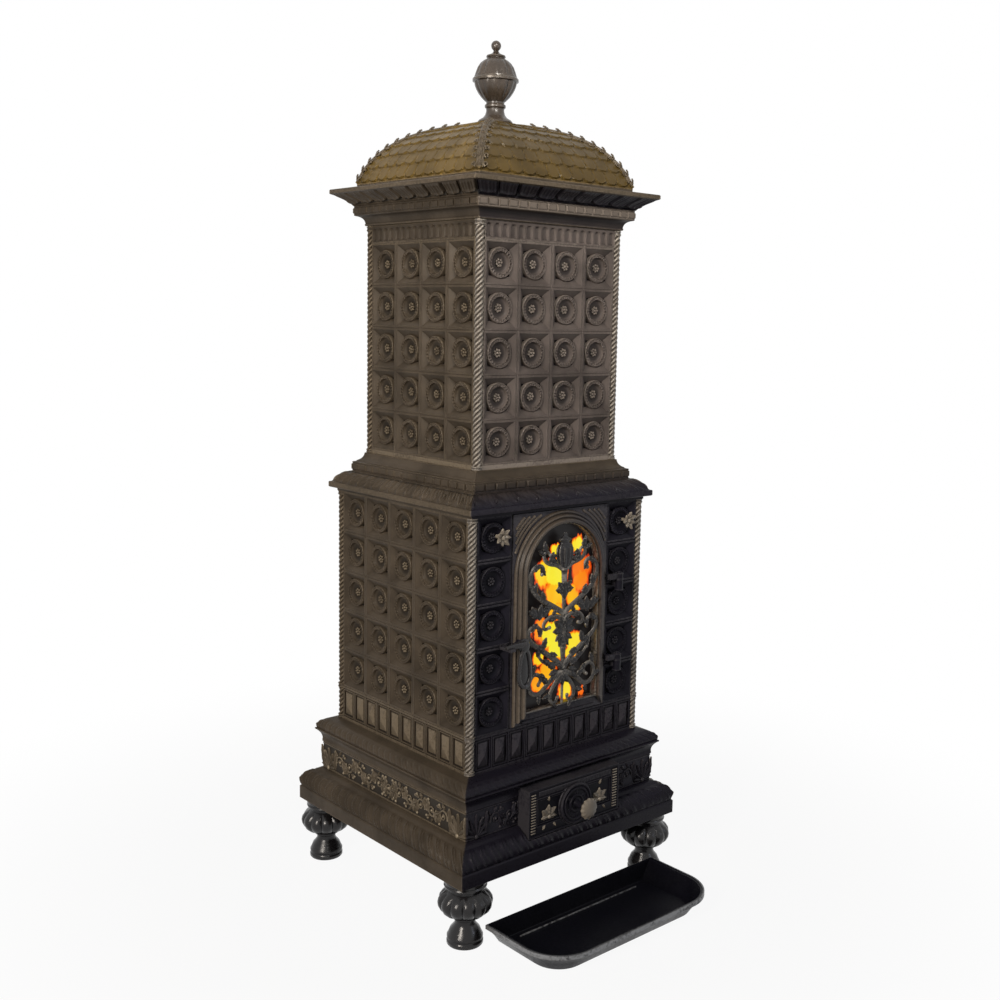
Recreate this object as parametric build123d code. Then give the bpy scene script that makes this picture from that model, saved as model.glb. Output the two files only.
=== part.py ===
from build123d import *
import math
import os

# A cast-iron tiled stove: a square tower on four turned feet. Sizes are in millimetres.
# The origin is on the floor under the middle of the tower, +Z up, the fire door faces -Y.

# ---- tiles and casing --------------------------------------------------------------------------------
tile_pitch = 86.0
tile_rows = 5
upper_columns = 4
lower_columns = 5
door_columns = 3
tile_border = 5.0
tile_bevel_depth = 5.0
bowl_sides = 8
bowl_radius = 25.0
bowl_depth = 11.0
panel_thickness = 12.6
plain_border = 18.0
column_sides = 8
column_radius = 8.5
column_collar_radius = 10.5
column_collar_height = 7.0
column_proud = 4.0

# ---- heights, from the floor up ----------------------------------------------------------------------
foot_height = 130.0
plinth_band = 28.0
plinth_torus = 37.0
plinth_cavetto = 8.0
base_frieze_height = 58.0
cap_bed = 7.0
cap_flare = 22.0
cap_ovolo = 29.0
lower_frieze_height = 73.0
mid_bed = 7.0
mid_slab = 12.0
mid_leaf = 24.0
mid_block = 20.0
mid_step = 20.0
upper_sill = 9.0
flute_height = 36.0
crown_cove = 21.0
crown_block = 20.0
crown_leaf = 23.0
crown_slab = 10.0
roof_seat = 10.0
roof_rise = 125.0

# ---- how far each moulding stands out of the casing face it belongs to -------------------------------
plinth_reach = 64.0
torus_round = 4.5
torus_neck = 21.0
frieze_reach = 26.0
cap_reach = 40.0
cap_bed_reach = 2.0
ovolo_round = 3.0
ovolo_neck = 17.0
mid_slab_reach = 17.5
mid_block_reach = 23.5
mid_leaf_spread = 22.0
mid_leaf_neck = 3.0
crown_block_reach = 21.5
crown_cove_neck = 3.0
crown_leaf_spread = 14.0
crown_leaf_lip = 2.0
crown_slab_reach = 58.5
roof_reach = 17.5

# ---- castings ----------------------------------------------------------------------------------------
moulding_wall = 8.0
frieze_plate = 10.0
flange_depth = 46.0
frieze_block_count = 10
frieze_block_width = 26.0
frieze_block_height = 50.0
frieze_block_proud = 4.0
frieze_corner_wall = 8.0
roof_wall = 6.0
roof_boss = 4.0
roof_crown_drop = 19.0
roof_crown_share = 0.52
hip_rib_width = 15.0
hip_rib_proud = 5.0
roof_pad = 38.0
roof_core_rows = [
    (1.0, 0.0), (0.97, 0.18), (0.90, 0.35), (0.70, 0.675), (0.55, 0.82), (0.38, 0.915), (0.20, 0.975),
]
lid_lip_depth = 12.0
lid_lip_wall = 6.0
lid_clearance = 1.5

# ---- feet --------------------------------------------------------------------------------------------
foot_sides = 10
foot_inset = 42.0
foot_profile = [
    (35.0, 0.0), (35.5, 18.0), (33.0, 33.0), (20.0, 41.0), (20.0, 50.0), (46.0, 68.0), (54.5, 84.0),
    (50.0, 99.0), (36.0, 111.0), (42.0, 118.0), (42.0, foot_height),
]
foot_stud_radius = 6.0
foot_stud_height = 22.0
square_hole = 1.2
nut_radius = 10.0
nut_height = 8.0

# ---- fire door ---------------------------------------------------------------------------------------
door_gap = 2.0
door_plate_thickness = 8.0
door_proud = 2.0
arch_margin = 3.0
arch_head = 1.0
arch_reed_count = 3
arch_reed_width = 8.0
arch_reed_step = 5.6
window_sill = 24.0
window_rebate = 4.0
rebate_facets = 32
grille_thickness = 6.0
grille_rim = 6.0
grille_bar = 7.0
grille_chord = 24.0
grille_setback = 8.0
grille_crown_drop = 176.0
heart_pitch = 122.0
urn_outline = [
    (0, -26), (5, -22), (14, 10), (17, 24), (10, 34), (5, 36), (7, 43), (0, 50),
]
mica_thickness = 1.0
pane_lap = 6.0
retainer_thickness = 4.0
retainer_width = 12.0
frame_rebate = 7.0
frame_depth = 14.0
hinge_offset_x = 22.0
hinge_offset_y = 18.0
hinge_pin_radius = 4.0
hinge_eye_radius = 9.0
hinge_eye_height = 12.0
hinge_barrel_height = 24.0
hinge_pin_proud = 3.0
hinge_arm_half = 4.0
hinge_arm_lap = 2.5
hinge_root = 6.0
hinge_lug_half = 6.0
running_clearance = 0.05
handle_drop = 84.0
handle_width = 30.0
handle_bar = 8.0
handle_inset_x = 13.0
handle_boss_proud = 2.0
handle_spindle_radius = 5.0
handle_tail_half = 3.0
handle_washer_half = 5.2
handle_washer_thickness = 2.0
handle_hub_radius = 10.0
handle_hub_length = 12.0
latch_arm_length = 46.0
latch_arm_height = 6.0
latch_arm_lift = 1.0
handle_tail = 3.0
keeper_inset = 13.0
keeper_width = 14.0
keeper_height = 6.0
keeper_web = 4.0

# ---- ash drawer --------------------------------------------------------------------------------------
drawer_half_width = 124.0
drawer_front_reach = 34.0
drawer_front_wall = 6.0
drawer_border = 24.0
drawer_field_depth = 3.0
drawer_drop = 13.5
drawer_rise = 19.0
regulator_drop = 4.0
regulator_radius = 42.0
regulator_thickness = 6.0
regulator_slots = 6
regulator_slot_radius = 25.0
regulator_slot_width = 9.0
knob_neck_radius = 6.0
knob_profile = [
    (knob_neck_radius, 0.0), (knob_neck_radius, 32.0), (20.0, 38.0), (17.0, 43.0), (6.0, 47.0),
]
screw_radius = 3.0
screw_grip = 20.0
screw_head = 4.0
pan_half_width = 100.0
pan_length = 380.0
pan_height = 42.0
pan_wall = 3.0
runner_height = 6.0
runner_width = 12.0
ash_floor_thickness = 5.0

# ---- inside ------------------------------------------------------------------------------------------
hearth_plate_thickness = 8.0
grate_width = 190.0
grate_depth = 230.0
grate_thickness = 12.0
grate_ledge = 10.0
grate_bar = 10.0
grate_gap = 12.0
brick_thickness = 30.0
brick_height = 380.0
baffle_thickness = 8.0
baffle_ledge = 12.0
baffle_throat = 70.0
baffle_throat_half = 115.0
tie_rod_radius = 5.0
rod_inset = 20.0
rod_edge = 12.0
rod_end = 3.0
hearth_lap = 2.0
hearth_ledge = 4.0
flue_radius = 60.0
flue_wall = 5.0
flue_length = 60.0
flue_flange = 160.0
flue_rows_down = 1.0
flue_hole_clearance = 2.0
flue_bolt_radius = 4.0
flue_bolt_inset = 14.0

# ---- finial and tray ---------------------------------------------------------------------------------
finial_sides = 10
finial_base_profile = [
    (34.0, 0.0), (36.0, 4.0), (34.0, 10.0), (22.0, 19.0), (18.5, 32.0), (21.5, 38.0), (18.5, 44.0),
    (31.0, 57.0), (40.0, 69.0), (44.0, 84.0), (47.4, 86.0), (47.4, 92.0),
]
finial_top_profile = [
    (44.0, 0.0), (42.0, 8.0), (37.0, 22.0), (28.0, 33.0), (18.0, 39.0), (20.0, 42.0), (8.0, 49.0),
    (5.0, 55.0), (10.5, 64.5), (8.5, 71.0), (3.0, 75.0),
]
finial_rod_radius = 5.0
finial_rod_grip = 24.0
finial_joint = 1.0
tray_inset = 60.5
tray_depth = 198.0
tray_height = 43.5
tray_corner_radius = 87.0
tray_corner_facets = 8
tray_spread = 27.0
tray_wall = 5.0
tray_rim_height = 8.0
tray_ridge_height = 3.0
tray_gap = 4.0

# ---- fits --------------------------------------------------------------------------------------------
seat_gap = 0.3
hole_clearance = 0.5

# ---- levels and half widths worked out from the sizes above ------------------------------------------
upper_field = upper_columns * tile_pitch / 2
lower_field = lower_columns * tile_pitch / 2
door_field = door_columns * tile_pitch / 2
corner_margin = 2 * column_radius - column_proud
upper_face = upper_field + corner_margin
lower_face = lower_field + corner_margin
plinth_half = lower_face + plinth_reach
frieze_face = lower_face + frieze_reach
cap_half = lower_face + cap_reach
mid_slab_half = lower_face + mid_slab_reach
mid_block_half = upper_face + mid_block_reach
crown_block_half = upper_face + crown_block_reach
crown_slab_half = upper_face + crown_slab_reach
roof_half = upper_face + roof_reach

plinth_z = foot_height
torus_z = plinth_z + plinth_band
cavetto_z = torus_z + plinth_torus
frieze_z = cavetto_z + plinth_cavetto
cap_z = frieze_z + base_frieze_height
lower_z = cap_z + cap_bed + cap_flare + cap_ovolo
tiles_z = lower_z + lower_frieze_height
mid_z = tiles_z + tile_rows * tile_pitch
mid_slab_z = mid_z + mid_bed
mid_leaf_z = mid_slab_z + mid_slab
mid_block_z = mid_leaf_z + mid_leaf
mid_step_z = mid_block_z + mid_block
upper_z = mid_step_z + mid_step
upper_tiles_z = upper_z + upper_sill
flute_z = upper_tiles_z + tile_rows * tile_pitch
crown_z = flute_z + flute_height
crown_block_z = crown_z + crown_cove
crown_leaf_z = crown_block_z + crown_block
crown_slab_z = crown_leaf_z + crown_leaf
roof_seat_z = crown_slab_z + crown_slab
roof_z = roof_seat_z + roof_seat
finial_z = roof_z + roof_rise
foot_centre = plinth_half - foot_inset
lower_inner = lower_face - panel_thickness
upper_inner = upper_face - panel_thickness

drawer_bottom = cavetto_z - drawer_drop
drawer_top = cap_z + drawer_rise
drawer_face = frieze_face + drawer_front_reach
regulator_z = (drawer_bottom + drawer_top) / 2 - regulator_drop
ash_floor_top = frieze_z + ash_floor_thickness
runner_top = ash_floor_top + runner_height
rod_line = lower_field - rod_inset
flange_half = rod_line - rod_edge
hearth_plate_half = rod_line + rod_edge - hearth_lap
flue_z = flute_z - flue_rows_down * tile_pitch
finial_seat = finial_z + finial_joint
finial_split = finial_seat + finial_base_profile[-1][1]
rod_top = finial_split + finial_rod_grip
tray_half_width = plinth_half - tray_inset
tray_back = foot_centre + foot_profile[1][0] + tray_gap

door_half = door_field - door_gap
door_front = lower_face + door_proud
door_back = door_front - door_plate_thickness
door_bottom = tiles_z + door_gap
door_top = mid_z - door_gap
arch_outer = door_half - arch_margin
arch_inner = arch_outer - arch_reed_count * arch_reed_width
arch_crest = door_front + arch_reed_count * arch_reed_step
arch_spring_z = door_top - arch_head - arch_outer
window_z = door_bottom + window_sill
grille_front = arch_crest - grille_setback
grille_back = grille_front - grille_thickness
mica_back = door_back - mica_thickness
retainer_back = mica_back - retainer_thickness
hinge_x = door_field + hinge_offset_x
hinge_y = -lower_face - hinge_offset_y
hinge_levels = [tiles_z + tile_pitch, tiles_z + 3 * tile_pitch]
handle_x = -door_half + handle_inset_x
handle_z = tiles_z + 2 * tile_pitch
handle_face = arch_crest + handle_boss_proud

side_angles = {"front": 0, "right": 90, "rear": 180, "left": 270}
corner_angles = {"front_left": 0, "front_right": 90, "rear_right": 180, "rear_left": 270}


# ---- ways of making a shape --------------------------------------------------------------------------
def outline(start, steps, straight=False):
    """Half outline of a moulding as a closed sketch: x is the half width, y the height.
    A step of two numbers is a straight line to that point, one of four an arc through a point."""
    edges = []
    here = start
    for step in steps:
        end = step[-2:]
        if len(step) == 2 or straight:
            edges.append(Line(here, end))
        else:
            edges.append(ThreePointArc(here, step[:2], end))
        here = end
    edges.append(Line(here, (0, here[1])))
    edges.append(Line((0, here[1]), (0, start[1])))
    edges.append(Line((0, start[1]), start))
    half = make_face(edges)
    return half + mirror(half, about=Plane.YZ)


def mitred(sketch):
    """A solid of square plan whose four sides all have the outline, mitred at the corners."""
    reach = sketch.bounding_box().max.X
    bar = extrude(Plane.XZ * sketch, amount=reach, both=True)
    return bar & Rot(0, 0, 90) * bar


def block(x, y, z):
    """A box between the given pairs of limits."""
    size = Box(x[1] - x[0], y[1] - y[0], z[1] - z[0])
    return Pos((x[0] + x[1]) / 2, (y[0] + y[1]) / 2, (z[0] + z[1]) / 2) * size


def square_block(half, z):
    """A box of square plan on the tower's axis."""
    return block((-half, half), (-half, half), z)


def hollow_moulding(start, steps, wall, clear_half):
    """A mitred moulding cast as a shell over a straight-sided core, with flanges in to clear_half."""
    core = offset(outline(start, steps, straight=True), amount=-wall, kind=Kind.INTERSECTION)
    shell = mitred(outline(start, steps)) - mitred(core)
    return shell - square_block(clear_half, (start[1] - 1, steps[-1][-1] + 1))


def turned(profile, sides, base_z):
    """A turned form with flat flutes: a stack of frustums between polygons of the profile's radii."""
    turns = [2 * math.pi * (index + 0.5) / sides for index in range(sides)]
    rings = [[(radius * math.cos(turn), radius * math.sin(turn), base_z + z) for turn in turns]
             for radius, z in profile]
    return Part() + [ConvexPolyhedron(low + high) for low, high in zip(rings, rings[1:])]


def cylinder(radius, start, end, axis="Z", at=(0, 0)):
    """A cylinder along an axis between two limits; at gives the other two coordinates in order."""
    length = end - start
    middle = (start + end) / 2
    if axis == "Z":
        return Pos(at[0], at[1], middle) * Cylinder(radius, length)
    return Pos(at[0], middle, at[1]) * Rot(90, 0, 0) * Cylinder(radius, length)


def prism(sides, radius, start, end, axis="Z", at=(0, 0)):
    """A rod of flat sides, each at the radius from its axis; a square one also cuts a cored hole."""
    rod = extrude(RegularPolygon(radius, sides, major_radius=False, rotation=180 / sides), amount=end - start)
    if axis == "Z":
        return Pos(at[0], at[1], start) * rod
    return Pos(at[0], end, at[1]) * Rot(90, 0, 0) * rod


def hex_nut(z, bore_radius, at):
    """A nut lying flat on the level z, on a rod of six flats."""
    nut = prism(6, nut_radius, z, z + nut_height, "Z", at)
    return nut - prism(6, bore_radius, z - 1, z + 2 * nut_height, "Z", at)


def corners(half):
    """The four points at a half width from the tower's axis."""
    return [(x, y) for x in (-half, half) for y in (-half, half)]


def turned_about_axis(solid, angle):
    """A piece made for the front, carried round to another side or corner."""
    return Rot(0, 0, angle) * solid


# ---- tiled panels ------------------------------------------------------------------------------------
def tile_recess():
    """What a tile takes out of its panel, down from the plane z = 0: a square bevelled in to a bowl."""
    mouth = [(x, y, 0) for x, y in corners(tile_pitch / 2 - tile_border)]
    rim = []
    for index in range(bowl_sides):
        angle = 2 * math.pi * (index + 0.5) / bowl_sides
        rim.append((bowl_radius * math.cos(angle), bowl_radius * math.sin(angle), -tile_bevel_depth))
    return ConvexPolyhedron(mouth + rim) + ConvexPolyhedron(rim + [(0, 0, -bowl_depth)])


def plain_panel(face, x_limits, z_limits, first_row_z):
    """A plate with one sunk field, for the side that faces the wall."""
    plate = block(x_limits, (-face, -face + panel_thickness), z_limits)
    field = block((x_limits[0] + plain_border, x_limits[1] - plain_border),
                  (-face - 1, -face + tile_bevel_depth),
                  (first_row_z + plain_border, first_row_z + tile_rows * tile_pitch - plain_border))
    return plate - field


def tiled_panel(face, x_limits, z_limits, first_row_z):
    """A plate for the front side with as many tiles as fit its width and five rows."""
    columns = round((x_limits[1] - x_limits[0]) / tile_pitch)
    plate = block(x_limits, (-face, -face + panel_thickness), z_limits)
    recess = Plane((0, -face, 0), x_dir=(1, 0, 0), z_dir=(0, -1, 0)) * tile_recess()
    recesses = []
    for column in range(columns):
        for row in range(tile_rows):
            x = x_limits[0] + (column + 0.5) * tile_pitch
            z = first_row_z + (row + 0.5) * tile_pitch
            recesses.append(Pos(x, 0, z) * recess)
    return plate - recesses


def rope_column(field, z_limits, collar_levels):
    """A corner column of the front left corner, with the post behind it that joins two panels."""
    centre = field + column_radius
    rings = []
    for level in collar_levels:
        low = max(z_limits[0], level - column_collar_height / 2)
        high = min(z_limits[1], level + column_collar_height / 2)
        ring = extrude(RegularPolygon(column_collar_radius, column_sides), amount=high - low)
        rings.append(Pos(-centre, -centre, low) * ring)
    shaft = extrude(RegularPolygon(column_radius, column_sides, rotation=180 / column_sides),
                    amount=z_limits[1] - z_limits[0])
    shaft = Pos(-centre, -centre, z_limits[0]) * shaft
    post = block((-centre, -field), (-centre, -field), z_limits)
    panels = square_block(field + corner_margin, z_limits)
    panels -= block((-centre * 2, -field), (-centre * 2, -field), z_limits)
    column = shaft + post
    for ring in rings:
        column += ring - panels
    return column


# ---- base --------------------------------------------------------------------------------------------
def foot():
    """A turned foot with its stud, on the tower's axis."""
    stud = prism(6, foot_stud_radius, foot_height, foot_height + foot_stud_height)
    return turned(foot_profile, foot_sides, 0) + stud


def drawer_notch(z):
    """The room that the ash drawer front needs in the mouldings round it."""
    half = drawer_half_width + hole_clearance
    return block((-half, half), (-plinth_half, -frieze_face + seat_gap), z)


def plinth():
    torus_top = (plinth_half - torus_neck, cavetto_z)
    torus_middle = (plinth_half - torus_round, torus_z + 0.62 * plinth_torus)
    steps = [
        (plinth_half, torus_z),
        (*torus_middle, *torus_top),
        (frieze_face, frieze_z),
    ]
    ring = hollow_moulding((plinth_half, plinth_z), steps, moulding_wall, frieze_face - flange_depth)
    ring -= [prism(4, square_hole * foot_stud_radius, plinth_z - 1, plinth_z + 2 * moulding_wall, "Z", point)
             for point in corners(foot_centre)]
    return ring - drawer_notch((drawer_bottom - hole_clearance, frieze_z + 1))


def base_frieze(side):
    """Front and rear run the full width, the sides fit between them."""
    half = frieze_face if side in ("front", "rear") else frieze_face - frieze_plate
    panel = block((-half, half), (-frieze_face, -frieze_face + frieze_plate), (frieze_z, cap_z))
    if side == "front":
        mouth = pan_half_width + 3 * pan_wall
        panel -= block((-mouth, mouth), (-frieze_face - 1, 0), (ash_floor_top, cap_z - pan_wall))
    return turned_about_axis(panel, side_angles[side])


def base_cap():
    flare_z = cap_z + cap_bed + cap_flare
    steps = [
        (frieze_face + cap_bed_reach, cap_z + cap_bed),
        (cap_half, flare_z),
        (cap_half - ovolo_round, flare_z + 0.45 * cap_ovolo, cap_half - ovolo_neck, flare_z + 0.82 * cap_ovolo),
        (lower_face + column_proud, lower_z),
    ]
    ring = hollow_moulding((frieze_face, cap_z), steps, moulding_wall, flange_half)
    seat = square_block(hearth_plate_half + hole_clearance, (lower_z - hearth_plate_thickness, lower_z + 1))
    ledge = square_block(hearth_plate_half + hearth_ledge, (lower_z - 2 * hearth_plate_thickness, lower_z))
    ledge -= square_block(flange_half, (0, 2 * lower_z))
    ring = ring + ledge - seat - rod_holes(lower_z - 2 * hearth_plate_thickness)
    return ring - drawer_notch((cap_z - 1, drawer_top + hole_clearance))


# ---- lower casing ------------------------------------------------------------------------------------
def rod_holes(z):
    """Clearance holes for the four tie rods at a level."""
    reach = 2 * hearth_plate_thickness
    return [prism(4, square_hole * tie_rod_radius, z - reach, z + reach, "Z", point)
            for point in corners(rod_line)]


def lower_frieze():
    """A ring of four plates, open at the corners for the columns, with pyramid blocks on three sides."""
    inner = lower_field - frieze_corner_wall
    ring = square_block(lower_face, (lower_z, tiles_z)) - square_block(inner, (lower_z - 1, tiles_z + 1))
    middle = (lower_field + lower_face) / 2 + 1
    size = lower_face - lower_field + 2
    corner = Box(size, size, 3 * lower_frieze_height)
    ring -= [Pos(math.copysign(middle, x), math.copysign(middle, y), lower_z) * corner
             for x, y in corners(middle)]
    base = Rectangle(frieze_block_width, frieze_block_height)
    pyramid = loft([base.face(), Vertex(0, 0, frieze_block_proud)])
    pyramid = Plane((0, -lower_face, (lower_z + tiles_z) / 2), x_dir=(1, 0, 0), z_dir=(0, -1, 0)) * pyramid
    pitch = 2 * lower_field / frieze_block_count
    for side in ("front", "right", "left"):
        for index in range(frieze_block_count):
            x = -lower_field + (index + 0.5) * pitch
            ring += turned_about_axis(Pos(x, 0, 0) * pyramid, side_angles[side])
    return ring


def lower_panel(side):
    make_panel = plain_panel if side == "rear" else tiled_panel
    panel = make_panel(lower_face, (-lower_field, lower_field), (tiles_z, mid_z), tiles_z)
    return turned_about_axis(panel, side_angles[side])


def front_pier(sign):
    """The column of tiles beside the fire door."""
    limits = sorted((sign * door_field, sign * lower_field))
    return tiled_panel(lower_face, limits, (tiles_z, mid_z), tiles_z)


def door_frame():
    """The frame between the piers that the door shuts against."""
    front = -lower_face + door_plate_thickness - door_proud + seat_gap
    frame = block((-door_field, door_field), (front, front + frame_depth), (tiles_z, mid_z))
    half = door_field - frame_rebate
    return frame - block((-half, half), (front - 1, front + frame_depth + 1),
                         (tiles_z + frame_rebate + door_gap, mid_z - frame_rebate - door_gap))


# ---- fire door ---------------------------------------------------------------------------------------
def stilted_arch(half, bottom, head=None):
    """A round arch on straight sides, as a sketch of x and z; a hidden one may have a head of flats."""
    straight = Pos(0, (bottom + arch_spring_z) / 2) * Rectangle(2 * half, arch_spring_z - bottom)
    return straight + Pos(0, arch_spring_z) * (head or Circle(half))


def flat_arch(half, bottom):
    """The same arch with flats round its head."""
    return stilted_arch(half, bottom, RegularPolygon(half, rebate_facets))


def front_plate(sketch, front, back):
    """A sketch of x and z made a plate between two distances in front of the tower's axis."""
    return extrude(Plane((0, -back, 0), x_dir=(1, 0, 0), z_dir=(0, -1, 0)) * sketch, amount=front - back)


def reed_section():
    """The arch moulding's section: x is the half width, y the distance before the tower's axis."""
    points = [(arch_outer, door_back)]
    for reed in range(arch_reed_count):
        outer = arch_outer - reed * arch_reed_width
        crest = door_front + (reed + 1) * arch_reed_step
        points.append((outer, crest - arch_reed_step))
        points.append((outer - 0.4 * arch_reed_width, crest))
    points.append((arch_inner, arch_crest))
    points.append((arch_inner, door_back))
    return make_face(Polyline(*points, close=True))


def arch_moulding():
    """Three stepped reeds that run up both sides and round the arch."""
    section = mirror(reed_section(), about=Plane.XZ)
    standing = extrude(Pos(0, 0, door_bottom) * section, amount=arch_spring_z - door_bottom)
    lean = arch_outer - arch_inner
    slant = [(0, door_bottom - 1), (arch_outer + 1, door_bottom - 1), (arch_inner, door_bottom + lean),
             (0, door_bottom + lean)]
    cut = make_face(Polyline(*slant, close=True))
    standing -= front_plate(cut, arch_crest + 1, door_front)
    half_round = revolve(Pos(0, 0, arch_spring_z) * section, Axis((0, 0, arch_spring_z), (0, -1, 0)), 180)
    return standing + mirror(standing, about=Plane.YZ) + half_round


def handle_boss():
    """The boss on the door that carries the handle's spindle."""
    return prism(12, handle_hub_radius, -handle_face, -door_back, "Y", (handle_x, handle_z))


def hinge_eyes():
    """Two eyes cast on the door, each over a barrel on the right pier."""
    eyes = []
    for level in hinge_levels:
        low = level + hinge_barrel_height / 2 + seat_gap
        high = low + hinge_eye_height
        eye = prism(8, hinge_eye_radius, low, high, "Z", (hinge_x, hinge_y))
        arm = block((door_half - hinge_arm_lap, hinge_x), (hinge_y - hinge_arm_half, hinge_y + hinge_arm_half),
                    (low, high))
        root = block((door_half - hinge_root, door_half), (hinge_y - hinge_arm_half, -door_front), (low, high))
        bore = cylinder(hinge_pin_radius + running_clearance, low - 1, high + 1, "Z", (hinge_x, hinge_y))
        eyes.append(eye + arm + root - bore)
    return eyes


def door_plate():
    """The door casting: plate, arch moulding, handle boss and hinge eyes in one."""
    middle = (door_bottom + door_top) / 2
    sheet = Pos(0, middle) * Rectangle(2 * door_half, door_top - door_bottom)
    plate = front_plate(sheet, door_front, door_back) + arch_moulding() + handle_boss()
    for eye in hinge_eyes():
        plate += eye
    window = stilted_arch(arch_inner, window_z)
    seat = flat_arch(arch_inner + window_rebate, window_z - window_rebate)
    plate -= front_plate(window, arch_crest + 5, door_back - 5)
    plate -= front_plate(seat, grille_front, door_back - 5)
    return plate - cylinder(handle_spindle_radius + running_clearance, -handle_face - 1, 0, "Y",
                            (handle_x, handle_z))


def scroll(*points):
    """A bar of the grille along an arc through three points, in short straight lengths."""
    arc = ThreePointArc(*points)
    count = max(3, round(arc.length / grille_chord))
    stations = [index / count for index in range(count + 1)]
    side = [arc @ at + grille_bar / 2 * Vector(0, 0, 1).cross(arc % at) for at in stations]
    other = [arc @ at - grille_bar / 2 * Vector(0, 0, 1).cross(arc % at) for at in stations]
    return make_face(Polyline(*side, *reversed(other), close=True))


def door_grille():
    """The openwork casting before the panes: two hearts on a stem, an urn above, scrolls below."""
    outer = arch_inner + window_rebate - hole_clearance
    rim = flat_arch(outer, window_z - window_rebate + hole_clearance)
    rim -= flat_arch(arch_inner - grille_rim / 2, window_z + grille_rim / 2)
    reach = arch_inner - grille_rim / 2
    heart_tip = arch_spring_z + arch_inner - grille_crown_drop
    low_tip = heart_tip - heart_pitch
    half = Sketch()
    for tip in (heart_tip, low_tip):
        shoulder = (reach, tip + 0.67 * heart_pitch)
        curl = (0.55 * reach, tip + 0.72 * heart_pitch)
        half += scroll((0, tip), (0.60 * reach, tip + 0.28 * heart_pitch), shoulder)
        half += scroll(shoulder, (0.80 * reach, tip + 0.885 * heart_pitch), curl)
        half += scroll(curl, (0.28 * reach, tip + 0.80 * heart_pitch), (0, tip + 0.69 * heart_pitch))
    foot_curl = (0.40 * reach, low_tip - 0.44 * heart_pitch)
    half += scroll((0, low_tip), (0.93 * reach, low_tip - 0.20 * heart_pitch), foot_curl)
    half += scroll(foot_curl, (0.22 * reach, low_tip - 0.33 * heart_pitch),
                   (0.36 * reach, low_tip - 0.23 * heart_pitch))
    urn_z = heart_tip + heart_pitch
    half += scroll((0.28 * reach, urn_z - 0.20 * heart_pitch), (0.56 * reach, urn_z + 0.02 * heart_pitch),
                   (0.34 * reach, urn_z + 0.20 * heart_pitch))
    half += make_face(Polyline(*[(x, urn_z + z) for x, z in urn_outline], close=True))
    stem = block_sketch((-grille_bar / 2, grille_bar / 2), (window_z - grille_rim / 2, urn_z))
    drawing = (half + mirror(half, about=Plane.YZ) + stem) & flat_arch(reach + 1, window_z)
    return front_plate(rim, grille_front, door_back) + front_plate(drawing, grille_front, grille_back)


def block_sketch(x, y):
    """A rectangle between pairs of limits."""
    return Pos((x[0] + x[1]) / 2, (y[0] + y[1]) / 2) * Rectangle(x[1] - x[0], y[1] - y[0])


def pane_outline(margin):
    """The rectangle of the panes, drawn in by a margin, behind the arched opening."""
    half = arch_inner + pane_lap - margin
    return block_sketch((-half, half), (window_z - pane_lap + margin, arch_spring_z + half))


def mica_panes():
    return front_plate(pane_outline(0), door_back, mica_back)


def mica_retainer():
    ring = pane_outline(0) - pane_outline(retainer_width)
    return front_plate(ring, mica_back, retainer_back)


def hinge_brackets():
    """Two brackets on the right pier, each with a pin standing up that the door's eye drops over."""
    brackets = []
    for level in hinge_levels:
        low = level - hinge_barrel_height / 2
        high = low + hinge_barrel_height
        barrel = prism(8, hinge_eye_radius, low, high, "Z", (hinge_x, hinge_y))
        lug = block((hinge_x - hinge_lug_half, hinge_x + hinge_lug_half), (hinge_y, -lower_face),
                    (level - tile_border, level + tile_border))
        pin_top = high + seat_gap + hinge_eye_height + hinge_pin_proud
        pin = cylinder(hinge_pin_radius, high, pin_top, "Z", (hinge_x, hinge_y))
        brackets.append(barrel + lug + pin)
    return Part() + brackets


def latch_keeper():
    """The rest on the left pier that the latch arm lies over; it lands on a tile fillet."""
    right = -door_field - keeper_inset
    left = right - keeper_width
    arm_bottom = handle_z + latch_arm_lift
    front = -handle_face - seat_gap - handle_hub_length
    stem = block((left, right), (front, -lower_face), (arm_bottom - keeper_height, arm_bottom - seat_gap))
    web = block((left, right), (-lower_face - keeper_web, -lower_face),
                (handle_z - tile_border, handle_z + tile_border))
    return stem + web


def latch_handle():
    """Spindle, hub, latch arm and the looped grip that hangs from them."""
    back = -handle_face - seat_gap
    front = back - handle_hub_length
    spindle = cylinder(handle_spindle_radius, front, -door_back + seat_gap, "Y", (handle_x, handle_z))
    spindle += prism(4, handle_tail_half, front, -door_back + handle_tail, "Y", (handle_x, handle_z))
    hub = prism(12, handle_hub_radius, front, back, "Y", (handle_x, handle_z))
    arm = block((handle_x - latch_arm_length, handle_x), (front, back),
                (handle_z + latch_arm_lift, handle_z + latch_arm_lift + latch_arm_height))
    loop = hanging_loop(handle_width / 2) - hanging_loop(handle_width / 2 - handle_bar)
    return spindle + hub + arm + front_plate(loop, -front, -back)


def hanging_loop(half):
    """The outline of the grip, or of its finger gap, round the same two ends."""
    top = handle_z
    bottom = handle_z - handle_drop + handle_width / 2
    ends = Pos(handle_x, top) * RegularPolygon(half, 8, major_radius=False, rotation=22.5)
    ends += Pos(handle_x, bottom) * RegularPolygon(half, 8, major_radius=False, rotation=22.5)
    return ends + block_sketch((handle_x - half, handle_x + half), (bottom, top))


def handle_washer():
    """The square washer riveted on the spindle's tail behind the door."""
    start = -door_back + seat_gap
    plate = prism(4, handle_washer_half, start, start + handle_washer_thickness, "Y", (handle_x, handle_z))
    return plate - prism(4, handle_tail_half, start - 1, start + handle_tail, "Y", (handle_x, handle_z))


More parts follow.
